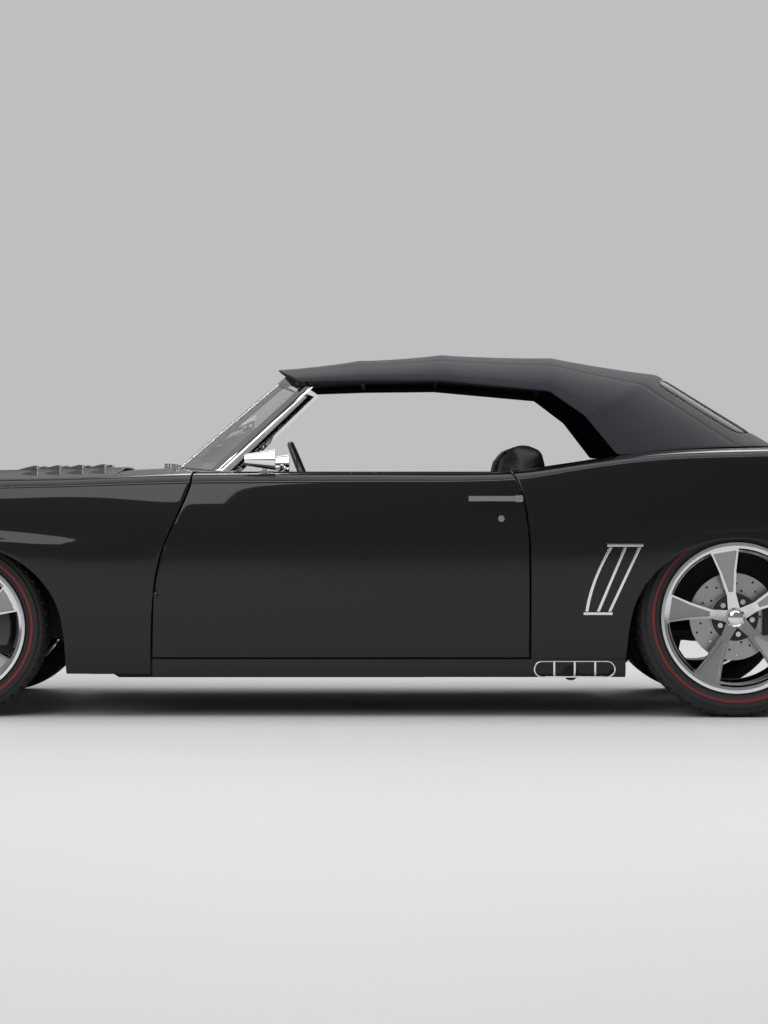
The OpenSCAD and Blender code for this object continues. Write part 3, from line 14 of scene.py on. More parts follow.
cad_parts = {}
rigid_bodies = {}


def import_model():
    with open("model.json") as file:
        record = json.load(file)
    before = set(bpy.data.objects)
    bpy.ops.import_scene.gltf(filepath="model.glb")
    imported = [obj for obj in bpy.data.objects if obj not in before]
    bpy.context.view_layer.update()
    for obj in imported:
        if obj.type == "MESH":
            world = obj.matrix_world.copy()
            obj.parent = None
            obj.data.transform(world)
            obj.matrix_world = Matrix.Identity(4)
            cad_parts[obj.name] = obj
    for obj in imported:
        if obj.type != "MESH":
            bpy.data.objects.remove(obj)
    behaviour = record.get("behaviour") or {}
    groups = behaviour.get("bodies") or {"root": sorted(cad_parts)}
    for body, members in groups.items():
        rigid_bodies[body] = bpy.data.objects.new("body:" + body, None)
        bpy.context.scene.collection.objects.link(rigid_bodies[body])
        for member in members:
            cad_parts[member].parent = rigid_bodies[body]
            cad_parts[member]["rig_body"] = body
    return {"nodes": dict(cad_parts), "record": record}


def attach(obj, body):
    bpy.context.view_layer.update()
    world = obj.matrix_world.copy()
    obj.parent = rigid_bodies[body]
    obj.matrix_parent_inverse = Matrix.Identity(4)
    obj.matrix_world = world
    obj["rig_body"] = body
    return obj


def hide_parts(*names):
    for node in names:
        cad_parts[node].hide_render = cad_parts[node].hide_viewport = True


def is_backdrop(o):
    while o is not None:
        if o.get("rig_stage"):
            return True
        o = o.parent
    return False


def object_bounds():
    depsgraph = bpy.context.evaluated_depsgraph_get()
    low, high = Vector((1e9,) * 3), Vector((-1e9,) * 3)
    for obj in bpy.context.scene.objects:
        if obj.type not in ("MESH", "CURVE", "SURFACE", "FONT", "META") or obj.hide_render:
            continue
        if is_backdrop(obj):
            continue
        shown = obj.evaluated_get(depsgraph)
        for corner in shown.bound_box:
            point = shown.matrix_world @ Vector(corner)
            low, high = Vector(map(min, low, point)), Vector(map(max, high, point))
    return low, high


for leftover in list(bpy.data.objects):
    bpy.data.objects.remove(leftover)
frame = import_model()
cad_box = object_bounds()
nodes = frame["nodes"]
record = frame["record"]
joint_at = {j["child"]: j["pos_m"] for j in record["behaviour"]["joints"]}
print("nodes", len(nodes), "box", [round(c, 3) for p in cad_box for c in p])

# %% [markdown]
# ## The camera
# The photograph looks square at the left side from about twelve metres, so the lens is long and the
# car's nose and tail fall outside the frame. The camera stands at the height of the horizon that the
# wheels and the roof give, and tips down by a fraction of a degree.

# %% Set the camera
near_side = -0.93
camera_place = Vector((0.073, -12.43, 0.800))
camera_aim = Vector((0.073, near_side, 0.723))
seen_height = 3.584
camera = bpy.data.objects.new("camera", bpy.data.cameras.new("camera"))
bpy.context.scene.collection.objects.link(camera)
camera.location = camera_place
camera.rotation_euler = (camera_aim - camera_place).to_track_quat("-Z", "Y").to_euler()
camera.data.sensor_width = 36
camera.data.lens = 36 * (camera_aim - camera_place).length / seen_height
camera.data.clip_end = 200
bpy.context.scene.camera = camera
print("lens", round(camera.data.lens, 1))

# %% [markdown]
# ## Modelling by hand, in code
# Blender's operators act on whatever is selected, so each step starts by selecting one piece and
# nothing else. These few helpers select a piece, choose some of its faces or edges by a test on
# their place, and add and apply a modifier.

# %% Helpers for selecting and for modifiers
def pick(piece):
    if bpy.context.mode != "OBJECT":
        bpy.ops.object.mode_set(mode="OBJECT")
    bpy.ops.object.select_all(action="DESELECT")
    bpy.context.view_layer.objects.active = piece
    piece.select_set(True)
    return piece


def edit(piece, kind="FACE", action="SELECT"):
    pick(piece)
    bpy.ops.object.mode_set(mode="EDIT")
    bpy.ops.mesh.select_mode(type=kind)
    bpy.ops.mesh.select_all(action=action)


def done():
    bpy.ops.object.mode_set(mode="OBJECT")


def edge_middle(piece, edge):
    a, b = (piece.data.vertices[i].co for i in edge.vertices)
    return (a + b) / 2


def choose(piece, test, kind="FACE"):
    """Goes into edit mode with just those faces, edges or corners selected."""
    edit(piece, kind, "DESELECT")
    done()
    parts = {"FACE": piece.data.polygons, "EDGE": piece.data.edges, "VERT": piece.data.vertices}[kind]
    found = 0
    for part in parts:
        part.select = bool(test(part))
        found += part.select
    bpy.ops.object.mode_set(mode="EDIT")
    return found


def modify(piece, kind, **settings):
    pick(piece)
    m = piece.modifiers.new(kind.lower(), kind)
    for key, value in settings.items():
        setattr(m, key, value)
    bpy.ops.object.modifier_apply(modifier=m.name)
    return piece


def rounded(piece, width, segments=2, angle=40):
    return modify(piece, "BEVEL", width=width, segments=segments, limit_method="ANGLE",
                  angle_limit=math.radians(angle), use_clamp_overlap=True)


def smooth(piece, angle=35):
    pick(piece)
    bpy.ops.object.shade_smooth_by_angle(angle=math.radians(angle))
    return piece


def close_up(piece):
    edit(piece, "VERT")
    bpy.ops.mesh.remove_doubles(threshold=1e-5)
    bpy.ops.mesh.normals_make_consistent(inside=False)
    done()
    return piece


def coat(piece, *finishes):
    piece.data.materials.clear()
    for f in finishes:
        piece.data.materials.append(f)
    return piece


def paint_faces(piece, index, test):
    n = 0
    for face in piece.data.polygons:
        if test(face):
            face.material_index = index
            n += 1
    return n


def stands_for(piece, node):
    """The piece rides where a CAD node rides, and hides it."""
    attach(piece, nodes[node]["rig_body"])
    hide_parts(node)
    return piece


# %% [markdown]
# ## Shader maths as Python
# A finish is a Principled shader fed by a few patterns. One small class wraps a node's socket, so
# that `0.3 + noise * 0.2` adds the Math nodes by itself, and one method adds any other node.

# %% The wire class
class Wire:
    def __init__(self, tree, socket):
        self.tree, self.socket = tree, socket

    def node(self, kind, settings=None, out=0, **sockets):
        n = self.tree.nodes.new("ShaderNode" + kind)
        for key, value in (settings or {}).items():
            setattr(n, key, value)
        for key, value in sockets.items():
            self.join(n, key, value)
        return Wire(self.tree, n.outputs[out])

    def join(self, n, key, value):
        name = key.replace("_", " ")
        target = n.inputs[int(key[1:])] if key[0] == "i" and key[1:].isdigit() else n.inputs[name]
        if isinstance(value, Wire):
            self.tree.links.new(value.socket, target)
        else:
            target.default_value = value

    def maths(self, operation, a, b):
        return self.node("Math", {"operation": operation}, i0=a, i1=b)

    def __add__(self, other): return self.maths("ADD", self, other)
    def __radd__(self, other): return self.maths("ADD", other, self)
    def __mul__(self, other): return self.maths("MULTIPLY", self, other)

    def blend(self, a, b):
        """Colour a where this value is 0 and b where it is 1."""
        return self.node("Mix", {"data_type": "RGBA"}, out=2, i0=self, i6=a, i7=b)

    def noise(self, scale, detail=2.0, roughness=0.5):
        return self.node("TexNoise", Vector=self, Scale=scale, Detail=detail, Roughness=roughness)

    def bump(self, strength, distance):
        return self.node("Bump", Height=self, Strength=strength, Distance=distance)


def finish(name, colour, **fixed):
    """A Principled material with its fixed numbers set; gives it, its shader and the Object coordinates."""
    m = bpy.data.materials.new(name)
    m.use_nodes = True
    shader = next(n for n in m.node_tree.nodes if n.type == "BSDF_PRINCIPLED")
    shader.inputs["Base Color"].default_value = (*colour, 1)
    for key, value in fixed.items():
        shader.inputs[key.replace("_", " ")].default_value = value
    start = Wire(m.node_tree, None)
    return m, shader, start.node("TexCoord", out=3), start


def feed(wires, shader, **sockets):
    for key, value in sockets.items():
        wires.join(shader, key, value)


# %% [markdown]
# ## The finishes
# Deep black paint is a dark base under a clear coat, with the faint ripple that sprayed lacquer has.
# Chrome is a mirror with a trace of haze, and polished alloy is a little softer. The fabric top is a
# twill, so two fine waves cross in its bump. Each finish gets the small unevenness of the real one.

# %% Paint and metals
paint, sh, at, w = finish("black_paint", (0.006, 0.006, 0.007), Roughness=0.32, Coat_Weight=1.0,
                          Coat_Roughness=0.02, Coat_IOR=1.4, Specular_IOR_Level=0.06)
peel = at.noise(900.0, 1.0)
feed(w, sh, Roughness=0.28 + at.noise(7.0) * 0.08, Normal=peel.bump(0.006, 0.0003))

chrome, sh, at, w = finish("chrome", (0.82, 0.83, 0.85), Metallic=1.0)
feed(w, sh, Roughness=0.035 + at.noise(18.0, 4.0) * 0.03)

alloy, sh, at, w = finish("polished_alloy", (0.80, 0.80, 0.82), Metallic=1.0)
feed(w, sh, Roughness=0.06 + at.noise(30.0, 5.0) * 0.06, Normal=at.noise(600.0, 2.0).bump(0.02, 0.0003))

satin, sh, at, w = finish("satin_alloy", (0.36, 0.365, 0.38), Metallic=1.0)
grain = at.noise(1400.0, 2.0)
feed(w, sh, Roughness=0.36 + grain * 0.14, Normal=grain.bump(0.12, 0.0003))

steel, sh, at, w = finish("ground_steel", (0.50, 0.49, 0.48), Metallic=1.0)
rings = at.noise(2200.0, 1.0)
feed(w, sh, Roughness=0.22 + rings * 0.16, Normal=rings.bump(0.06, 0.0002))

pipe, sh, at, w = finish("pipe_steel", (0.34, 0.33, 0.32), Metallic=1.0)
stain = at.noise(14.0, 6.0)
feed(w, sh, Base_Color=stain.blend((0.36, 0.35, 0.34, 1), (0.24, 0.21, 0.18, 1)),
     Roughness=0.3 + stain * 0.25)

chassis, sh, at, w = finish("chassis_black", (0.018, 0.018, 0.019), Specular_IOR_Level=0.4)
spray = at.noise(380.0, 3.0)
feed(w, sh, Roughness=0.5 + spray * 0.2, Normal=spray.bump(0.12, 0.0005))

casting, sh, at, w = finish("cast_block", (0.09, 0.092, 0.096), Metallic=0.55)
sand = at.noise(520.0, 4.0)
feed(w, sh, Base_Color=at.noise(9.0, 4.0).blend((0.10, 0.10, 0.105, 1), (0.06, 0.058, 0.056, 1)),
     Roughness=0.55 + sand * 0.2, Normal=sand.bump(0.3, 0.0008))
print("metals and paints made")

# %% Rubber, cloth, leather, glass and lamps
rubber, sh, at, w = finish("tyre_rubber", (0.014, 0.014, 0.015), Specular_IOR_Level=0.35)
scuff = at.noise(60.0, 6.0, 0.65)
feed(w, sh, Base_Color=scuff.blend((0.011, 0.011, 0.012, 1), (0.026, 0.026, 0.027, 1)),
     Roughness=0.55 + scuff * 0.25, Normal=at.noise(1100.0, 2.0).bump(0.12, 0.0004))

red_line, sh, at, w = finish("red_line_rubber", (0.16, 0.010, 0.014), Specular_IOR_Level=0.35)
scuff = at.noise(70.0, 5.0)
feed(w, sh, Base_Color=scuff.blend((0.15, 0.008, 0.012, 1), (0.22, 0.016, 0.02, 1)),
     Roughness=0.5 + scuff * 0.2)

twill, sh, at, w = finish("top_twill", (0.020, 0.021, 0.027), Specular_IOR_Level=0.25, Sheen_Weight=0.25,
                          Sheen_Roughness=0.4)
ribs = w.node("TexWave", {"bands_direction": "DIAGONAL"}, out=1, Vector=at, Scale=420.0, Distortion=0.4)
threads = w.node("TexWave", {"bands_direction": "X"}, out=1, Vector=at, Scale=900.0, Distortion=0.6)
weave = ribs * 0.65 + threads * 0.35
fade = at.noise(3.5, 4.0)
feed(w, sh, Base_Color=fade.blend((0.018, 0.019, 0.025, 1), (0.028, 0.030, 0.037, 1)),
     Roughness=0.78 + weave * 0.15, Normal=weave.bump(0.35, 0.0007))

leather, sh, at, w = finish("seat_leather", (0.014, 0.013, 0.013), Specular_IOR_Level=0.4)
pores = w.node("TexVoronoi", Vector=at, Scale=420.0)
folds = at.noise(26.0, 5.0)
feed(w, sh, Base_Color=folds.blend((0.012, 0.012, 0.012, 1), (0.021, 0.020, 0.020, 1)),
     Roughness=0.36 + folds * 0.18, Normal=(pores * 0.7 + folds * 0.4).bump(0.22, 0.0009))

vinyl, sh, at, w = finish("cabin_vinyl", (0.016, 0.016, 0.017), Specular_IOR_Level=0.35)
pores = w.node("TexVoronoi", Vector=at, Scale=700.0)
feed(w, sh, Roughness=0.5 + pores * 0.2, Normal=pores.bump(0.18, 0.0006))

carpet, sh, at, w = finish("cabin_carpet", (0.013, 0.013, 0.014), Sheen_Weight=0.3, Sheen_Roughness=0.5)
pile = at.noise(900.0, 3.0, 0.7)
feed(w, sh, Base_Color=pile.blend((0.008, 0.008, 0.009, 1), (0.026, 0.026, 0.028, 1)),
     Roughness=0.9 + pile * 0.08, Normal=pile.bump(0.7, 0.002))

glass, sh, at, w = finish("clear_glass", (0.93, 0.96, 0.95), Roughness=0.0, Transmission_Weight=1.0,
                          IOR=1.05, Coat_Weight=0.6, Coat_Roughness=0.0)
feed(w, sh, Roughness=at.noise(5.0, 3.0) * 0.015)

lens, sh, at, w = finish("lamp_glass", (0.95, 0.96, 0.97), Transmission_Weight=0.85, IOR=1.35,
                         Coat_Weight=0.5)
flutes = w.node("TexWave", {"bands_direction": "Y"}, out=1, Vector=at, Scale=60.0)
feed(w, sh, Roughness=0.04 + flutes * 0.06, Normal=flutes.bump(0.5, 0.002))

red_lens, sh, at, w = finish("red_lens", (0.30, 0.006, 0.008), Coat_Weight=0.8, Coat_Roughness=0.05)
ribs = w.node("TexWave", {"bands_direction": "Z"}, out=1, Vector=at, Scale=80.0)
feed(w, sh, Base_Color=ribs.blend((0.34, 0.008, 0.010, 1), (0.20, 0.004, 0.006, 1)),
     Roughness=0.18 + ribs * 0.1, Normal=ribs.bump(0.35, 0.002))

pane_vinyl, sh, at, w = finish("window_vinyl", (0.05, 0.055, 0.06), Transmission_Weight=1.0, IOR=1.04,
                               Coat_Weight=0.1, Specular_IOR_Level=0.2)
feed(w, sh, Roughness=0.03 + at.noise(4.0, 3.0) * 0.05)

dial_face, sh, at, w = finish("dial_face", (0.010, 0.010, 0.011), Coat_Weight=0.6)
feed(w, sh, Roughness=0.35 + at.noise(300.0, 2.0) * 0.1)

rim_plastic, sh, at, w = finish("wheel_rim_plastic", (0.014, 0.014, 0.014), Coat_Weight=0.3)
feed(w, sh, Roughness=0.28 + at.noise(80.0, 4.0) * 0.12)

seal, sh, at, w = finish("seal_rubber", (0.010, 0.010, 0.010), Specular_IOR_Level=0.3)
feed(w, sh, Roughness=0.6 + at.noise(150.0, 3.0) * 0.2)
print("soft finishes and glass made")

# %% [markdown]
# ## Body panels
# A pressed panel is one smooth skin with folded edges. The CAD panels are coarse nets, so each copy
# is welded into quads, its sharp edges get a narrow bevel that later holds them, and a subdivision
# surface rounds the skin between. Modelling the skin again by hand could miss the shut lines, and a
# copy keeps them.

# %% Copy a CAD node as a clean mesh
def copy_node(node, name, join_angle=25):
    piece = bpy.data.objects.new(name, nodes[node].data.copy())
    bpy.context.scene.collection.objects.link(piece)
    piece.parent = None
    pick(piece)
    if piece.data.has_custom_normals:
        bpy.ops.mesh.customdata_custom_splitnormals_clear()
    edit(piece, "VERT")
    bpy.ops.mesh.remove_doubles(threshold=2e-5)
    bpy.ops.mesh.tris_convert_to_quads(face_threshold=math.radians(join_angle),
                                       shape_threshold=math.radians(100))
    done()
    return piece


def pressed_panel(node, name, fold=0.0022, levels=2, sharp=42, stiff=None):
    """A smooth skin from a coarse CAD panel. Edges inside the boxes of stiff stay as they are."""
    piece = copy_node(node, name)
    stiff = stiff or []

    def held(edge):
        c = edge_middle(piece, edge)
        return any(all(lo[k] <= c[k] <= hi[k] for k in range(3)) for lo, hi in stiff)

    edit(piece, "EDGE", "DESELECT")
    bpy.ops.mesh.edges_select_sharp(sharpness=math.radians(sharp))
    done()
    for e in piece.data.edges:
        if e.select and held(e):
            e.select = False
    bpy.ops.object.mode_set(mode="EDIT")
    bpy.ops.transform.edge_bevelweight(value=1.0)
    if stiff:
        choose(piece, held, "EDGE")
        bpy.ops.transform.edge_crease(value=1.0)
    done()
    modify(piece, "BEVEL", width=fold, segments=2, limit_method="WEIGHT", use_clamp_overlap=False)
    modify(piece, "SUBSURF", levels=levels, render_levels=levels)
    smooth(piece, 50)
    return piece


# %% Press the panels
hinge_boxes = [[(-0.85, s * 0.9 - 0.2, z - 0.035), (-0.55, s * 0.9 + 0.2, z + 0.035)]
               for s in (-1, 1) for z in (0.42, 0.62)]
panel_rules = {
    "front_fenders": {}, "quarter_panels": {}, "cowl": {},
    "deck_filler": {"stiff": [[(1.4, -0.7, 0.85), (1.62, 0.7, 0.935)]]},
    "hood": {"stiff": [[(-1.1, -0.6, 0.5), (-0.7, 0.6, 0.832)]]},
    "deck_lid": {"stiff": [[(1.4, -0.6, 0.5), (1.75, 0.6, 0.918)]]},
    "door_left": {"stiff": hinge_boxes}, "door_right": {"stiff": hinge_boxes},
}


def on_vent_rear(face):
    p = face.center
    return face.normal.x > 0.55 and p.z > 0.855 and abs(p.y) < 0.24 and -1.30 < p.x < -0.93


for node, rules in panel_rules.items():
    panel = stands_for(coat(pressed_panel(node, node + "_skin", **rules), paint, vinyl, chrome), node)
    if node.startswith("door"):
        inside = 1 if node == "door_left" else -1
        trimmed = paint_faces(panel, 1, lambda f: f.normal.y * inside > 0.45 and abs(f.center.y) < 0.82)
        print(panel.name, "trimmed faces", trimmed)
    if node == "hood":
        print(panel.name, "bright vent faces", paint_faces(panel, 2, on_vent_rear))
    print(panel.name, len(panel.data.polygons), "faces")

# %% [markdown]
# ## Plain rigid pieces
# Many pieces already have their shape in the CAD model and only need soft edges and smooth round
# faces. Each is copied, welded, given a narrow bevel that catches the light, and shaded smooth up to
# an angle. A table says which finish and bevel each one gets.

# %% Dress the plain pieces
plain = {
    "rockers": (paint, 0.003), "nose_panel": (paint, 0.003), "tail_panel": (paint, 0.003),
    "firewall": (chassis, 0), "floor_pan": (carpet, 0), "wheelhouses": (chassis, 0),
    "windshield": (glass, 0), "wipers": (chrome, 0.0012), "dashboard": (vinyl, 0.006),
    "grille": (chassis, 0), "tail_lamps": (red_lens, 0.003),
    "front_bumper": (chrome, 0), "rear_bumper": (chrome, 0),
    "front_subframe": (chassis, 0.003), "front_suspension": (chassis, 0.003),
    "engine": (casting, 0.01), "driveline": (chassis, 0), "exhaust": (pipe, 0.004),
    "exhaust_tips": (chrome, 0.001), "rear_axle": (chassis, 0), "leaf_springs": (chassis, 0.002),
    "fuel_tank": (pipe, 0.012), "quarter_gills": (chrome, 0.0012),
    "door_chrome_left": (chrome, 0.0042), "door_chrome_right": (chrome, 0.0042),
    "knuckle_left": (casting, 0), "knuckle_right": (casting, 0),
}
for node, (skin, bevel) in plain.items():
    piece = copy_node(node, node + "_piece", 5)
    if bevel:
        rounded(piece, bevel)
    smooth(piece)
    if bevel:
        modify(piece, "WEIGHTED_NORMAL", keep_sharp=True, weight=80)
    stands_for(coat(piece, skin), node)
pipes = coat(bpy.data.objects["exhaust_piece"], pipe, chassis)
ends = paint_faces(pipes, 1, lambda f: abs(f.center.y) > 0.6 and abs(f.normal.y) > 0.9)
print("plain pieces", len(plain), "sooty pipe ends", ends)

# %% [markdown]
# ## Windshield frame, lamps and steering wheel
# These need more than one finish. The pillars carry two bright mouldings with a dark channel between
# them, so the outer faces are inset and sunk. A headlamp is a fluted glass in a bright ring, and the
# steering wheel a glossy rim on satin spokes.

# %% Dress the frame, lamps and steering wheel
pillars = copy_node("windshield_frame", "windshield_mouldings", 25)
coat(pillars, chrome, seal)
n = choose(pillars, lambda f: abs(f.normal.y) > 0.6 and abs(f.center.y) > 0.5 and f.area > 2e-3)
bpy.ops.mesh.inset(thickness=0.008, depth=-0.003)
done()
for face in pillars.data.polygons:
    face.material_index = 1 if face.select else 0
print("pillar channels", n)
stands_for(smooth(pillars, 30), "windshield_frame")

lamps = copy_node("headlamps", "headlamp_glasses", 3)
coat(lamps, lens, chrome)
lamp_side, lamp_height = 0.690, 0.640
lamp_glass_r = 0.0765
ring = paint_faces(lamps, 1, lambda f: math.hypot(abs(f.center.y) - lamp_side,
                                                  f.center.z - lamp_height) > lamp_glass_r)
stands_for(smooth(lamps, 30), "headlamps")
print("lamp ring faces", ring)

steer_centre = Vector(joint_at["steering_wheel"])
hand_wheel = copy_node("steering_wheel", "hand_wheel", 3)
coat(hand_wheel, rim_plastic, satin)
spoke_faces = paint_faces(hand_wheel, 1, lambda f: 0.036 < (f.center - steer_centre).length < 0.166)
stands_for(smooth(hand_wheel, 35), "steering_wheel")
print("hand wheel spoke faces", spoke_faces)

# %% [markdown]
# ## Wheels
# The five flared spokes are polished and their sunk pockets are left satin. The CAD wheel has the
# whole form, so its copy is only welded and shaded. The pocket floors are found by their depth below
# the front of the spokes, and the plate behind the lug nuts is painted dark.

# %% Polish the wheels
# Radius of the rim's edge and half of the tyre's width
tyre_sizes = {"front": dict(rim=0.240, half=0.114), "rear": dict(rim=0.266, half=0.138)}
corners = {}
for end, size in tyre_sizes.items():
    for word, side in (("left", -1), ("right", 1)):
        spot = joint_at["roll_%s_%s" % (end, word)]
        corners[end + "_" + word] = dict(axle=Vector(spot), r=spot[2], side=side, **size)
front_axle_x = joint_at["roll_front_left"][0]
rear_axle_x = joint_at["roll_rear_left"][0]
pocket_depth = 0.007
hub_r, lug_seat = 0.0845, 0.018
bore_r = 0.02505
bore_ease = 1.012   # a facet of the spindle can't graze the bore as the wheel turns


def spoke_front(r, rim, lip, hub):
    t = min(max((r - 0.040) / (rim - 0.062), 0), 1) ** 1.4
    return (hub - 0.002) * (1 - t) + (lip - 0.014) * t


for name, c in corners.items():
    lip = c["half"] - 0.006
    hub = lip - 0.052
    piece = copy_node("wheel_" + name, "polished_wheel_" + name, 3)
    axle = c["axle"]
    choose(piece, lambda v: abs(math.hypot(v.co.x - axle.x, v.co.z - axle.z) - bore_r) < 2e-4, "VERT")
    bpy.ops.transform.resize(value=(bore_ease, 1, bore_ease), center_override=axle)
    done()
    smooth(piece, 28)
    coat(piece, alloy, satin, chassis)

    def polar(face):
        p = face.center - axle
        return math.hypot(p.x, p.z), p.y * c["side"]

    def in_pocket(face):
        r, out = polar(face)
        pocket_floor = spoke_front(r, c["rim"], lip, hub) - pocket_depth
        return 0.09 < r < c["rim"] - 0.03 and abs(out - pocket_floor) < 0.0016

    def on_hub_plate(face):
        r, out = polar(face)
        return r < hub_r and face.normal.y * c["side"] > 0.9 and abs(out - hub + lug_seat) < 0.001

    print(piece.name, "pocket faces", paint_faces(piece, 1, in_pocket))
    print(piece.name, "hub plate faces", paint_faces(piece, 2, on_hub_plate))
    stands_for(piece, "wheel_" + name)
    disc = smooth(copy_node("brake_disc_" + name, "drilled_disc_" + name, 3), 30)
    stands_for(coat(disc, steel), "brake_disc_" + name)

# %% [markdown]
# ## Tyres
# A tyre is a profile turned round its axle: two beads, bulged walls with a thin red line, shoulders
# and a tread with round grooves. One corner point is extruded from place to place into the profile,
# and spin turns it. The blocks of the tread are faces pushed in between the grooves.

# %% Turn a line of points round an axle
def draw_line(name, points):
    """A new piece in edit mode: one line of edges, extruded from point to point."""
    bpy.ops.object.select_all(action="DESELECT")
    bpy.ops.mesh.primitive_plane_add(size=0.01, location=(0, 0, 0))
    piece = bpy.context.active_object
    piece.name = name
    edit(piece, "VERT")
    bpy.ops.mesh.merge(type="CENTER")
    bpy.ops.transform.translate(value=points[0])
    for a, b in zip(points, points[1:]):
        bpy.ops.mesh.extrude_region_move(TRANSFORM_OT_translate={"value": b - a})
    bpy.ops.mesh.select_all(action="SELECT")
    return piece


def turned(name, points, centre, axis, steps):
    piece = draw_line(name, points)
    bpy.ops.mesh.spin(steps=steps, angle=math.tau, center=centre, axis=axis)
    done()
    return close_up(piece)


# %% Make the tyres
wall_share = 0.42   # how far up the wall the widest part lies
red_drop = 0.007    # how far below that the middle of the red line lies


def tyre_profile(rim, radius, half):
    """Pairs of radius and distance outward, from the outer bead over the tread to the inner bead."""
    bead = half - 0.0183
    mid = rim + (radius - rim) * wall_share
    line = mid - 0.006
    outer = [
        (rim - 0.0117, bead - 0.010), (rim - 0.0117, bead), (rim + 0.001, bead),
        (rim + 0.006, half - 0.0100), (rim + 0.010, half - 0.0066), (rim + 0.013, half - 0.0070),
        (line - 0.0062, half - 0.0022), (line - 0.005, half - 0.0008), (line + 0.003, half - 0.0002),
        (line + 0.0042, half - 0.0014), (mid + 0.014, half - 0.0015),
        (radius - 0.026, half - 0.0072), (radius - 0.024, half - 0.0096), (radius - 0.020, half - 0.0100),
        (radius - 0.012, half - 0.0150), (radius - 0.004, half - 0.0270), (radius - 0.0014, half - 0.0380)]
    tread = []
    width = half - 0.038
    for groove in (0.60, 0.20):
        at_z = width * groove
        tread += [(radius - 0.0008, at_z + 0.0052), (radius - 0.0074, at_z + 0.0040),
                  (radius - 0.0074, at_z - 0.0040), (radius - 0.0004, at_z - 0.0052)]
    half_line = outer + tread
    return half_line + [(r, -z) for r, z in reversed(half_line)]


def make_tyre(name, c):
    centre = c["axle"]
    steps = 144
    profile = tyre_profile(c["rim"], c["r"], c["half"])
    points = [centre + Vector((r, out * c["side"], 0)) for r, out in profile]
    piece = turned("tread_tyre_" + name, points, centre, (0, 1, 0), steps)

    def polar(face):
        d = face.center - centre
        return math.hypot(d.x, d.z), abs(d.y), math.atan2(d.z, d.x)

    def is_sipe(face):
        r, out, a = polar(face)
        n = round((a + math.pi) / math.tau * steps - 0.5)
        shoulder = r > c["r"] - 0.0125 and out > c["half"] * 0.50
        rib = r > c["r"] - 0.002 and out < c["half"] * 0.50
        return (shoulder and n % 3 == 0 and r < c["r"] + 0.001) or (rib and n % 4 == 1)

    n = choose(piece, is_sipe)
    bpy.ops.mesh.inset(thickness=0.0016, depth=-0.0045, use_individual=True)
    done()
    coat(piece, rubber, red_line)
    red_r = c["rim"] + (c["r"] - c["rim"]) * wall_share - red_drop

    def on_red_line(face):
        outside = (face.center.y - centre.y) * c["side"] > 0.05
        return outside and abs(polar(face)[0] - red_r) < 0.0032

    painted = paint_faces(piece, 1, on_red_line)
    smooth(piece, 32)
    print(piece.name, "sipes", n, "red faces", painted)
    return piece


for name, c in corners.items():
    stands_for(make_tyre(name, c), "tyre_" + name)

# %% [markdown]
# ## The fabric top
# A folding top is one sheet sewn from panels and stretched over bows, so it is lofted row by row: one
# corner is extruded along the header, and that line is extruded rearward from bow to bow down to the
# foot. The cloth sinks a little between the bows. Welts over the long seams and a hem along the side
# edges are faces raised from the same sheet.

# %% Loft rows of points by extruding
def loft(name, rows):
    """rows are lists of points, all as long; the first is drawn and then extruded to each next one."""
    piece = draw_line(name, rows[0])
    for before, row in zip(rows, rows[1:]):
        bpy.ops.mesh.extrude_region_move(TRANSFORM_OT_translate={"value": row[0] - before[0]})
        done()
        fresh = [v for v in piece.data.vertices if v.select]
        moved = [b + row[0] - before[0] for b in before]
        for v in fresh:
            k = min(range(len(row)), key=lambda i: (moved[i] - v.co).length_squared)
            v.co = row[k]
        bpy.ops.object.mode_set(mode="EDIT")
    bpy.ops.mesh.normals_make_consistent(inside=False)
    done()
    return piece


# %% Stretch the top over its bows
half_width = 0.940
# Axle that X is measured from, X and Z at the middle, X at the edge, inset and Z at the edge
bow_lines = [
    (front_axle_x, 1.108, 1.246, 1.197, 0.374, 1.190),
    (front_axle_x, 1.410, 1.281, 1.430, 0.350, 1.195),
    (front_axle_x, 1.717, 1.303, 1.700, 0.336, 1.195),
    (rear_axle_x, -0.619, 1.292, -0.650, 0.300, 1.156),
    (rear_axle_x, -0.219, 1.229, -0.526, 0.234, 1.066),
]
foot_line = [(0.902, 0.9235), (1.10, 0.9420), (1.30, 0.9535), (1.45, 0.9590), (1.54, 0.9605)]
foot_half = 0.768
cloth_sag = 0.005


def share(v):
    return (1 - abs(v) ** 2.5) ** 0.6


def bow_point(k, v):
    if k == len(bow_lines):
        x = rear_axle_x - 0.412 + share(v) * (0.221 + 0.412)
        i = max(0, min(3, sum(x > f[0] for f in foot_line) - 1))
        (x0, z0), (x1, z1) = foot_line[i], foot_line[i + 1]
        return Vector((x, foot_half * v, z0 + (z1 - z0) * (x - x0) / (x1 - x0)))
    axle, x_mid, z_mid, x_edge, inset, z_edge = bow_lines[k]
    b = share(v)
    return Vector((axle + x_edge + (x_mid - x_edge) * b, (half_width - inset) * v,
                   z_edge + (z_mid - z_edge) * b))


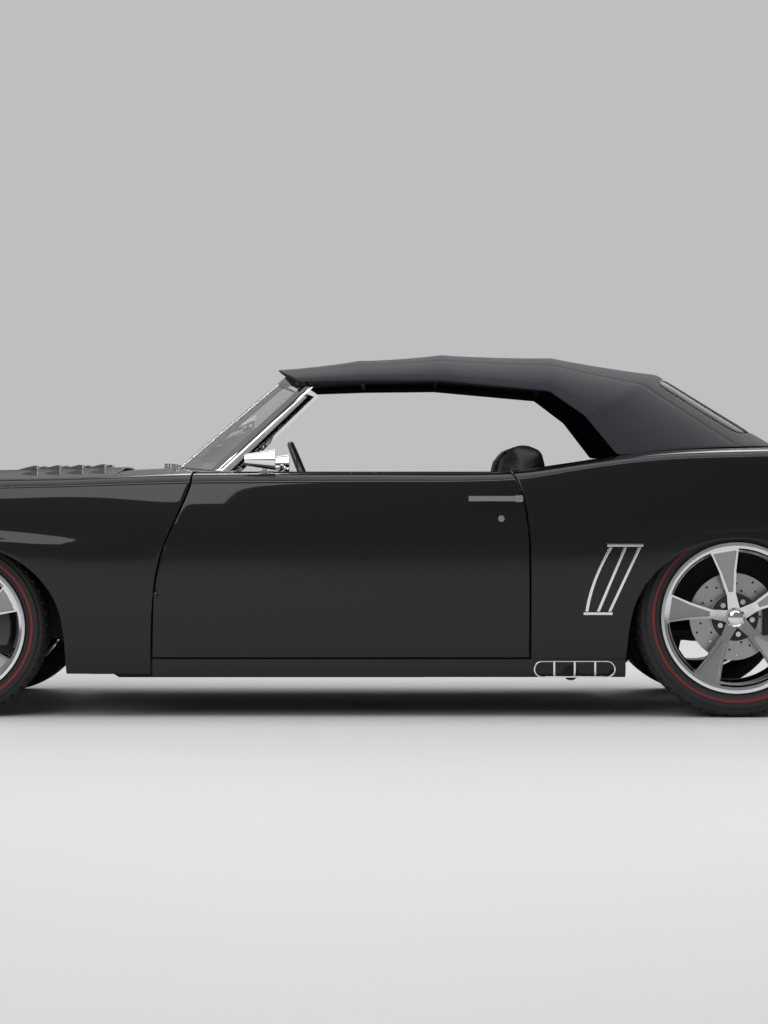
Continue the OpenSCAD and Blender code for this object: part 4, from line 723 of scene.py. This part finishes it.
half_spread = [0.1, 0.2, 0.3, 0.4, 0.5, 0.58, 0.66, 0.70, 0.725,
               0.78, 0.84, 0.89, 0.93, 0.96, 0.98, 0.99, 1.0]
spread = [-v for v in reversed(half_spread)] + [0] + half_spread
top_rows = []
for k in range(len(bow_lines)):
    for u in (0, 0.06, 0.2, 0.4, 0.6, 0.8, 0.94):
        sink = cloth_sag * (4 * u * (1 - u)) ** 0.6 * (0.5 if k == 4 else 1)
        row = []
        for v in spread:
            p = bow_point(k, v).lerp(bow_point(k + 1, v), u)
            pull = Vector((0, -v, -1)).normalized() * sink * (1 - abs(v) ** 6)
            row.append(p + pull)
        top_rows.append(row)
top_rows.append([bow_point(5, v) for v in spread])
top = loft("fabric_top", top_rows)
middle_k = len(spread) // 2
cut_length = sum((a[middle_k] - b[middle_k]).length for a, b in zip(top_rows, top_rows[1:]))
cut_width = max(sum((a - b).length for a, b in zip(r, r[1:])) for r in top_rows)

# %% Sew the window, the welts and the hem
cells = KDTree((len(top_rows) - 1) * (len(spread) - 1))
for i in range(len(top_rows) - 1):
    for j in range(len(spread) - 1):
        quad = top_rows[i][j] + top_rows[i][j + 1] + top_rows[i + 1][j] + top_rows[i + 1][j + 1]
        cells.insert(quad / 4, i * len(spread) + j)
cells.balance()


def cell(face):
    """Row of the face, and how far across it lies, from -1 to 1."""
    i, j = divmod(cells.find(face.center)[1], len(spread))
    return i, (spread[j] + spread[j + 1]) / 2


def raise_faces(piece, test, height):
    n = choose(piece, test)
    bpy.ops.mesh.extrude_region_shrink_fatten(TRANSFORM_OT_shrink_fatten={"value": height})
    done()
    return n


rows_a_bow = 7
n = choose(top, lambda f: rows_a_bow * 4 < cell(f)[0] < rows_a_bow * 4 + 5 and abs(cell(f)[1]) < 0.58)
bpy.ops.mesh.separate(type="SELECTED")
done()
pane = next(o for o in bpy.context.selected_objects if o is not top)
pane.name = "rear_window_pane"
welts = raise_faces(top, lambda f: 0.70 < abs(cell(f)[1]) < 0.725, 0.0016)
hems = raise_faces(top, lambda f: abs(cell(f)[1]) > 0.98, 0.0022)
print("window faces", n, "welt faces", welts, "hem faces", hems)

# %% Give the cloth its thickness
modify(top, "SOLIDIFY", thickness=0.0035, offset=-1.0)
modify(top, "SUBSURF", levels=1, render_levels=1)
stands_for(coat(smooth(top, 40), twill), "soft_top")

edit(pane)
bpy.ops.mesh.extrude_region_shrink_fatten(TRANSFORM_OT_shrink_fatten={"value": 0.0015})
bpy.ops.mesh.inset(thickness=0.018, depth=-0.002)
done()
modify(pane, "SOLIDIFY", thickness=0.003, offset=-1.0)
modify(pane, "SUBSURF", levels=1, render_levels=1)
stands_for(coat(smooth(pane, 40), pane_vinyl), "soft_top")
print("rear window made")

# %% [markdown]
# ## The bows
# Under the cloth three steel bows and two side rails carry it. Each is the line of its bow, set in by
# the cloth, drawn as a curve with a round section and turned into a mesh.

# %% Bend the bows
def bent_bar(name, points, radius, skin, node):
    curve = bpy.data.curves.new(name, "CURVE")
    curve.dimensions = "3D"
    curve.bevel_depth = radius
    curve.bevel_resolution = 3
    curve.use_fill_caps = True
    line = curve.splines.new("POLY")
    line.points.add(len(points) - 1)
    for q, p in zip(line.points, points):
        q.co = (*p, 1)
    bar = bpy.data.objects.new(name, curve)
    bpy.context.scene.collection.objects.link(bar)
    pick(bar)
    bpy.ops.object.convert(target="MESH")
    bar = bpy.context.active_object
    close_up(bar)
    return stands_for(coat(smooth(bar, 50), skin), node)


for k in (1, 2, 3):
    line = [bow_point(k, v) + Vector((0, -v * 0.016, -0.016)) for v in spread if abs(v) < 0.985]
    bent_bar("top_bow_%d" % k, line, 0.009, chassis, "soft_top")
for side in (-1, 1):
    rail = [bow_point(k, side * 0.985) + Vector((0, -side * 0.020, -0.012)) for k in (0, 1, 2, 3)]
    bent_bar("top_side_rail_%s" % ("left" if side < 0 else "right"), rail, 0.012, chassis, "soft_top")

# %% [markdown]
# ## The header rail
# In front the cloth ends on a rail with a soft seal that shuts on the windshield's header. Its lower
# edge is found as the nearest place on the header, its upper edge as the cloth straight above that.

# %% Shut the top on the windshield
cloth_t = 0.0065
seat_row, cap_row = [], []
for v in spread:
    front, back = bow_point(0, v), bow_point(1, v)
    seat = pillars.closest_point_on_mesh(front.lerp(back, 0.12))[1]
    under = front.lerp(back, (seat.x - front.x) / (back.x - front.x))
    seat_row.append(seat + Vector((0, 0, 0.0005)))
    cap_row.append(Vector((seat.x, seat.y, max(under.z - cloth_t, seat.z + 0.005))))
rail = loft("top_header_rail", [seat_row, cap_row])
modify(rail, "SOLIDIFY", thickness=0.022, offset=0.0)
rounded(rail, 0.003)
stands_for(coat(smooth(rail, 40), seal), "soft_top")
print("header rail", [round((c - b).length, 4) for b, c in zip(seat_row, cap_row)][::6])

# %% [markdown]
# ## Seats
# A seat is a frame with stuffed pads on it. Each pad starts as a box a little smaller than the real
# one, is rounded, remeshed finely and blown up by a cloth simulation, so its faces crown and its sides
# pull in between the corners. The sewn channels are drawn in after that, as lines of points pushed
# inward. One pad is worked out and copied for the other side.

# %% Blow up a pad
def pad(name, centre, size, lean, taper=1.0, most=0.022, voxel=0.006):
    """A stuffed pad; lean turns it rearward about Y, taper narrows its top or rear edge."""
    bpy.ops.object.select_all(action="DESELECT")
    bpy.ops.mesh.primitive_cube_add(size=1, location=(0, 0, 0))
    piece = bpy.context.active_object
    piece.name = name
    edit(piece)
    bpy.ops.transform.resize(value=size)
    bpy.ops.mesh.subdivide(number_cuts=3)
    done()
    up = 2 if size[2] > size[0] else 0
    end = (lambda v: v.co[2]) if up == 2 else (lambda v: -v.co[0])
    choose(piece, lambda v: end(v) > size[up] * 0.45, "VERT")
    bpy.ops.transform.resize(value=(1, taper, 1))
    done()
    rounded(piece, min(size) * 0.30, 4, 50)
    edit(piece)
    bpy.ops.transform.rotate(value=-lean, orient_axis="Y", center_override=(0, 0, 0))
    bpy.ops.transform.translate(value=centre)
    done()
    modify(piece, "REMESH", mode="VOXEL", voxel_size=voxel)
    rest = [v.co.copy() for v in piece.data.vertices]
    cloth = piece.modifiers.new("cloth", "CLOTH")
    cloth.settings.use_pressure = True
    cloth.settings.uniform_pressure_force = 4.0
    cloth.settings.effector_weights.gravity = 0
    cloth.settings.tension_stiffness = 25
    cloth.settings.compression_stiffness = 25
    cloth.settings.bending_stiffness = 2.0
    cloth.settings.quality = 4
    cloth.point_cache.frame_end = 20
    for step in range(1, 21):
        bpy.context.scene.frame_set(step)
    pick(piece)
    bpy.ops.object.modifier_apply(modifier="cloth")
    bpy.context.scene.frame_set(1)
    for v, r in zip(piece.data.vertices, rest):
        d = v.co - r
        if d.length > most:
            v.co = r + d * (most / d.length)
    return piece


def channels(piece, lines, width, depth, faces):
    """Sews lines into a pad: lines are tests on a place, faces says which side they run over."""
    n = choose(piece, lambda v: faces(v.normal) and any(abs(line(v.co)) < width for line in lines), "VERT")
    bpy.ops.transform.shrink_fatten(value=-depth)
    bpy.ops.mesh.select_more()
    bpy.ops.transform.shrink_fatten(value=-depth * 0.35)
    done()
    modify(piece, "SUBSURF", levels=1, render_levels=1)
    modify(piece, "DECIMATE", ratio=0.32)
    smooth(piece, 60)
    return n


def twin(piece, name, shift):
    other = piece.copy()
    other.data = piece.data.copy()
    other.name = name
    bpy.context.scene.collection.objects.link(other)
    edit(other)
    bpy.ops.transform.translate(value=(0, shift, 0))
    done()
    return other


# %% Stuff the front seats
seat_x = rear_axle_x - 1.301
seat_side = 0.415
cushion = pad("seat_cushion_left", (seat_x + 0.205, -seat_side, 0.405), (0.46, 0.47, 0.12), 0.06, 0.94)
seam_gap = 0.062
seams = [lambda p, k=k: p.y + seat_side - k * seam_gap for k in (-2, -1, 0, 1, 2)]
sewn = channels(cushion, seams, 0.0035, 0.005, lambda n: n.z > 0.55)
back_lean = 0.20
back = pad("seat_back_left", (seat_x + 0.530, -seat_side, 0.715), (0.115, 0.46, 0.50), back_lean, 0.90)
sewn += channels(back, seams, 0.0035, 0.005, lambda n: n.x < -0.55)
for piece in (cushion, back):
    other = twin(piece, piece.name.replace("left", "right"), 2 * seat_side)
    for p in (piece, other):
        stands_for(coat(p, leather), "front_seats")
print("sewn points", sewn)

# %% Stuff the rear seat
bench = pad("rear_cushion", (rear_axle_x - 0.505, 0, 0.470), (0.25, 1.00, 0.10), 0.08)
bench_seams = [lambda p: p.y, lambda p: abs(p.y) - 0.25]
channels(bench, bench_seams, 0.0045, 0.006, lambda n: n.z > 0.5)
rear_back = pad("rear_backrest", (rear_axle_x - 0.262, 0, 0.730), (0.10, 1.00, 0.32), 0.34)
channels(rear_back, bench_seams, 0.0045, 0.006, lambda n: n.x < -0.5)
for p in (bench, rear_back):
    stands_for(coat(p, leather), "rear_seat")


# %% Set the pads on their frames
def box_piece(name, low, high, skin, node, bevel=0.006, segments=3):
    """A block whose edges are rounded, from its lowest to its highest corner."""
    low, high = Vector(low), Vector(high)
    bpy.ops.object.select_all(action="DESELECT")
    bpy.ops.mesh.primitive_cube_add(size=1, location=(0, 0, 0))
    piece = bpy.context.active_object
    piece.name = name
    edit(piece)
    bpy.ops.transform.resize(value=high - low)
    bpy.ops.transform.translate(value=(low + high) / 2)
    bpy.ops.mesh.bevel(offset=bevel, segments=segments, affect="EDGES")
    done()
    return stands_for(coat(smooth(piece, 40), skin), node)


for side, word in ((-1, "left"), (1, "right")):
    y = side * seat_side
    box_piece("seat_frame_" + word, (seat_x + 0.01, y - 0.22, 0.2005), (seat_x + 0.43, y + 0.22, 0.350),
              vinyl, "front_seats", 0.02)
    box_piece("seat_shell_" + word, (seat_x + 0.425, y - 0.18, 0.300), (seat_x + 0.500, y + 0.18, 0.50),
              vinyl, "front_seats", 0.02)
box_piece("rear_seat_base", (rear_axle_x - 0.62, -0.52, 0.362), (rear_axle_x - 0.39, 0.52, 0.425), vinyl,
          "rear_seat", 0.015)
box_piece("top_well", (rear_axle_x - 0.172, -0.54, 0.836), (rear_axle_x + 0.116, 0.54, 0.845), vinyl,
          "rear_seat", 0.003)
print("seat frames and the well for the folded top made")

# %% [markdown]
# ## The cabin
# Through the open windows the dials, console, door trim and the corners of the cowl show. They are
# blocks with rounded edges and short turned or bent pieces, each riding with the body or its door.

# %% Dials and console
def dial(name, centre, radius, depth, node, face_skin, ring_skin):
    """A round instrument facing rearward, with a raised ring and a sunk face."""
    bpy.ops.object.select_all(action="DESELECT")
    bpy.ops.mesh.primitive_cylinder_add(vertices=48, radius=radius, depth=depth, location=(0, 0, 0))
    piece = bpy.context.active_object
    piece.name = name
    edit(piece)
    bpy.ops.transform.rotate(value=-math.pi / 2, orient_axis="Y", center_override=(0, 0, 0))
    bpy.ops.transform.translate(value=centre)
    done()
    choose(piece, lambda f: f.normal.x > 0.9)
    bpy.ops.mesh.inset(thickness=radius * 0.10, depth=0.004)
    bpy.ops.mesh.inset(thickness=radius * 0.06, depth=-0.010)
    done()
    coat(piece, ring_skin, face_skin)
    for f in piece.data.polygons:
        f.material_index = 1 if f.select else 0
    close_up(piece)
    return stands_for(smooth(piece, 35), node)


dash_rear = -0.440
for k, (y, r) in enumerate(((-0.46, 0.052), (-0.28, 0.052), (-0.185, 0.026), (-0.555, 0.026))):
    dial("dash_dial_%d" % k, (dash_rear + 0.004, y, 0.762), r, 0.030, "dashboard", dial_face, chrome)
box_piece("dash_radio", (dash_rear - 0.01, -0.10, 0.720), (dash_rear + 0.012, 0.10, 0.780), dial_face,
          "dashboard", 0.004)
box_piece("dash_glovebox", (dash_rear - 0.01, 0.20, 0.715), (dash_rear + 0.006, 0.58, 0.790), vinyl,
          "dashboard", 0.005)
box_piece("centre_console", (-0.40, -0.125, 0.3553), (0.40, 0.125, 0.435), vinyl, "floor_pan", 0.018)
box_piece("shifter_plate", (-0.16, -0.055, 0.433), (0.02, 0.055, 0.441), satin, "floor_pan", 0.003)
lever = [Vector(p) for p in ((-0.075, 0, 0.432), (-0.070, 0, 0.50), (-0.055, 0, 0.565))]
bent_bar("shifter", lever, 0.008, chrome, "floor_pan")
bpy.ops.object.select_all(action="DESELECT")
bpy.ops.mesh.primitive_uv_sphere_add(segments=24, ring_count=14, radius=0.024, location=(0, 0, 0))
knob = bpy.context.active_object
knob.name = "shifter_knob"
edit(knob)
bpy.ops.transform.resize(value=(1, 1, 1.12))
bpy.ops.transform.translate(value=(-0.052, 0, 0.582))
done()
stands_for(coat(smooth(knob, 60), rim_plastic), "floor_pan")
print("dials and console made")

# %% Door trim and cowl corners
def side_box(side, name, low, high, skin, node, bevel):
    """A block on the left (side -1) or the right (side 1), with its corners given for the right."""
    near, far = sorted((side * low[1], side * high[1]))
    name += "_left" if side < 0 else "_right"
    return box_piece(name, (low[0], near, low[2]), (high[0], far, high[2]), skin, node, bevel)


pull_line = ((-0.10, 0.772), (-0.09, 0.745), (0.05, 0.745), (0.06, 0.772))
for side, word in ((-1, "left"), (1, "right")):
    door = "door_" + word
    side_box(side, "armrest", (-0.22, 0.700, 0.555), (0.24, 0.785, 0.610), vinyl, door, 0.016)
    side_box(side, "window_sill", (-0.46, 0.778, 0.845), (0.46, 0.796, 0.8655), seal, door, 0.004)
    side_box(side, "cowl_corner", (-0.597, 0.676, 0.820), (-0.470, 0.782, 0.866), paint, "cowl", 0.010)
    side_box(side, "quarter_trim", (0.585, 0.735, 0.280), (0.905, 0.755, 0.870), vinyl, "rear_seat", 0.008)
    pull = [Vector((x, side * y, 0.70)) for x, y in pull_line]
    bent_bar("door_pull_" + word, pull, 0.007, chrome, door)
print("door trim made")

# %% [markdown]
# ## Lamp rings
# Each tail lamp sits in a bright frame, bent from one bar round its edge, and each headlamp has a
# bulb cap in front of its bowl.

# %% Frame the lamps
tail_x, tail_mid, tail_half, tail_z = 2.3195, 0.520, 0.230, (0.635, 0.745)
for side, word in ((-1, "left"), (1, "right")):
    corner_line = [(tail_mid - tail_half, tail_z[0]), (tail_mid + tail_half, tail_z[0]),
                   (tail_mid + tail_half, tail_z[1]), (tail_mid - tail_half, tail_z[1])]
    loop = []
    for (y0, z0), (y1, z1) in zip(corner_line, corner_line[1:] + corner_line[:1]):
        for t in (0.02, 0.5, 0.98):
            loop.append(Vector((tail_x, side * (y0 + (y1 - y0) * t), z0 + (z1 - z0) * t)))
    bent_bar("tail_lamp_frame_" + word, loop + loop[:1], 0.0045, chrome, "tail_lamps")
    cap = dial("headlamp_cap_" + word, (0, 0, 0), 0.020, 0.012, "headlamps", chrome, chrome)
    edit(cap)
    bpy.ops.transform.rotate(value=math.pi, orient_axis="Z", center_override=(0, 0, 0))
    bpy.ops.transform.translate(value=(-2.3185, side * lamp_side, lamp_height))
    done()
print("lamps framed")

# %% [markdown]
# ## Under the hood
# The engine is one block in the CAD model. With the hood up it would look bare, so it gets valve
# covers, a round air cleaner and a radiator, all plain shapes of the type.

# %% Dress the engine bay
engine_mid = front_axle_x + 0.05
for side in (-1, 1):
    side_box(side, "valve_cover", (engine_mid - 0.26, 0.165, 0.640), (engine_mid + 0.26, 0.285, 0.735),
             satin, "engine", 0.020)
cleaner_foot = Vector((engine_mid, 0, 0.7702))
cleaner_profile = [(0.0, 0.0), (0.10, 0.0), (0.19, 0.006), (0.195, 0.012), (0.195, 0.040), (0.185, 0.048),
                   (0.05, 0.054), (0.018, 0.054), (0.016, 0.060), (0.0, 0.060)]
cleaner = turned("air_cleaner", [cleaner_foot + Vector((r, 0, h)) for r, h in cleaner_profile],
                 cleaner_foot, (0, 0, 1), 64)
stands_for(coat(smooth(cleaner, 35), chrome), "engine")
box_piece("radiator", (front_axle_x - 0.56, -0.34, 0.400), (front_axle_x - 0.50, 0.34, 0.760), chassis,
          "engine", 0.008)
print("engine bay dressed")

# %% [markdown]
# ## Floor, light and sky
# The studio is plain: a wide pale floor, a pale sky and four soft lamps. One hangs over the car, a
# long strip draws the bright line along its shoulder, one stands to the viewer's side and one behind.
# Mirrored rays see a darker sky, which gives chrome and black paint their contrast.

# %% Build the studio
floor_finish, sh, at, w = finish("pale_floor", (0.62, 0.62, 0.62), Roughness=0.6, Specular_IOR_Level=0.2)
feed(w, sh, Roughness=0.55 + at.noise(2.0) * 0.1)
bpy.ops.object.select_all(action="DESELECT")
bpy.ops.mesh.primitive_plane_add(size=120, location=(0, 0, -0.001))
studio_floor = bpy.context.active_object
studio_floor.name = "studio_floor"
coat(studio_floor, floor_finish)
studio_floor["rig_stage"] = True


def soft_lamp(name, place, aim, size, power):
    lamp = bpy.data.lights.new(name, "AREA")
    lamp.shape = "RECTANGLE"
    lamp.size, lamp.size_y, lamp.energy = size[0], size[1], power
    o = bpy.data.objects.new(name, lamp)
    bpy.context.scene.collection.objects.link(o)
    o.location = place
    o.rotation_euler = (Vector(aim) - Vector(place)).to_track_quat("-Z", "Y").to_euler()


soft_lamp("over", (0, -0.4, 8.0), (0, 0, 0.6), (14.0, 8.0), 540)
soft_lamp("shoulder_strip", (0.1, -5.6, 6.6), (0.1, -0.9, 0.85), (13.0, 0.8), 200)
soft_lamp("viewer_side", (-3.5, -9.5, 5.0), (0.2, 0, 0.5), (6.0, 4.0), 210)
soft_lamp("behind", (2.5, 8.0, 5.5), (0, 0, 0.6), (9.0, 5.0), 260)

world = bpy.data.worlds.new("studio_sky")
bpy.context.scene.world = world
world.use_nodes = True
sky = Wire(world.node_tree, None)
back = next(n for n in world.node_tree.nodes if n.type == "BACKGROUND")
ray = sky.node("LightPath")
seen = Wire(world.node_tree, ray.socket.node.outputs["Is Camera Ray"])
mirrored = Wire(world.node_tree, ray.socket.node.outputs["Is Glossy Ray"])
passed = Wire(world.node_tree, ray.socket.node.outputs["Is Transmission Ray"])
shows = sky.maths("MINIMUM", seen + passed, 1.0)
back.inputs["Color"].default_value = (1, 1, 1, 1)
sky.join(back, "Strength", 0.40 + shows * 0.12 + mirrored * -0.20)
bpy.context.scene.view_settings.view_transform = "Standard"

# %% [markdown]
# ## Measure and finish
# The dressed car has to keep the CAD model's size, so both boxes are measured and printed.

# %% Measure the sizes and finish
size = {"cad": [list(p) for p in cad_box], "visual": [list(p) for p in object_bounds()]}
print("visual box", [round(c, 3) for p in size["visual"] for c in p])
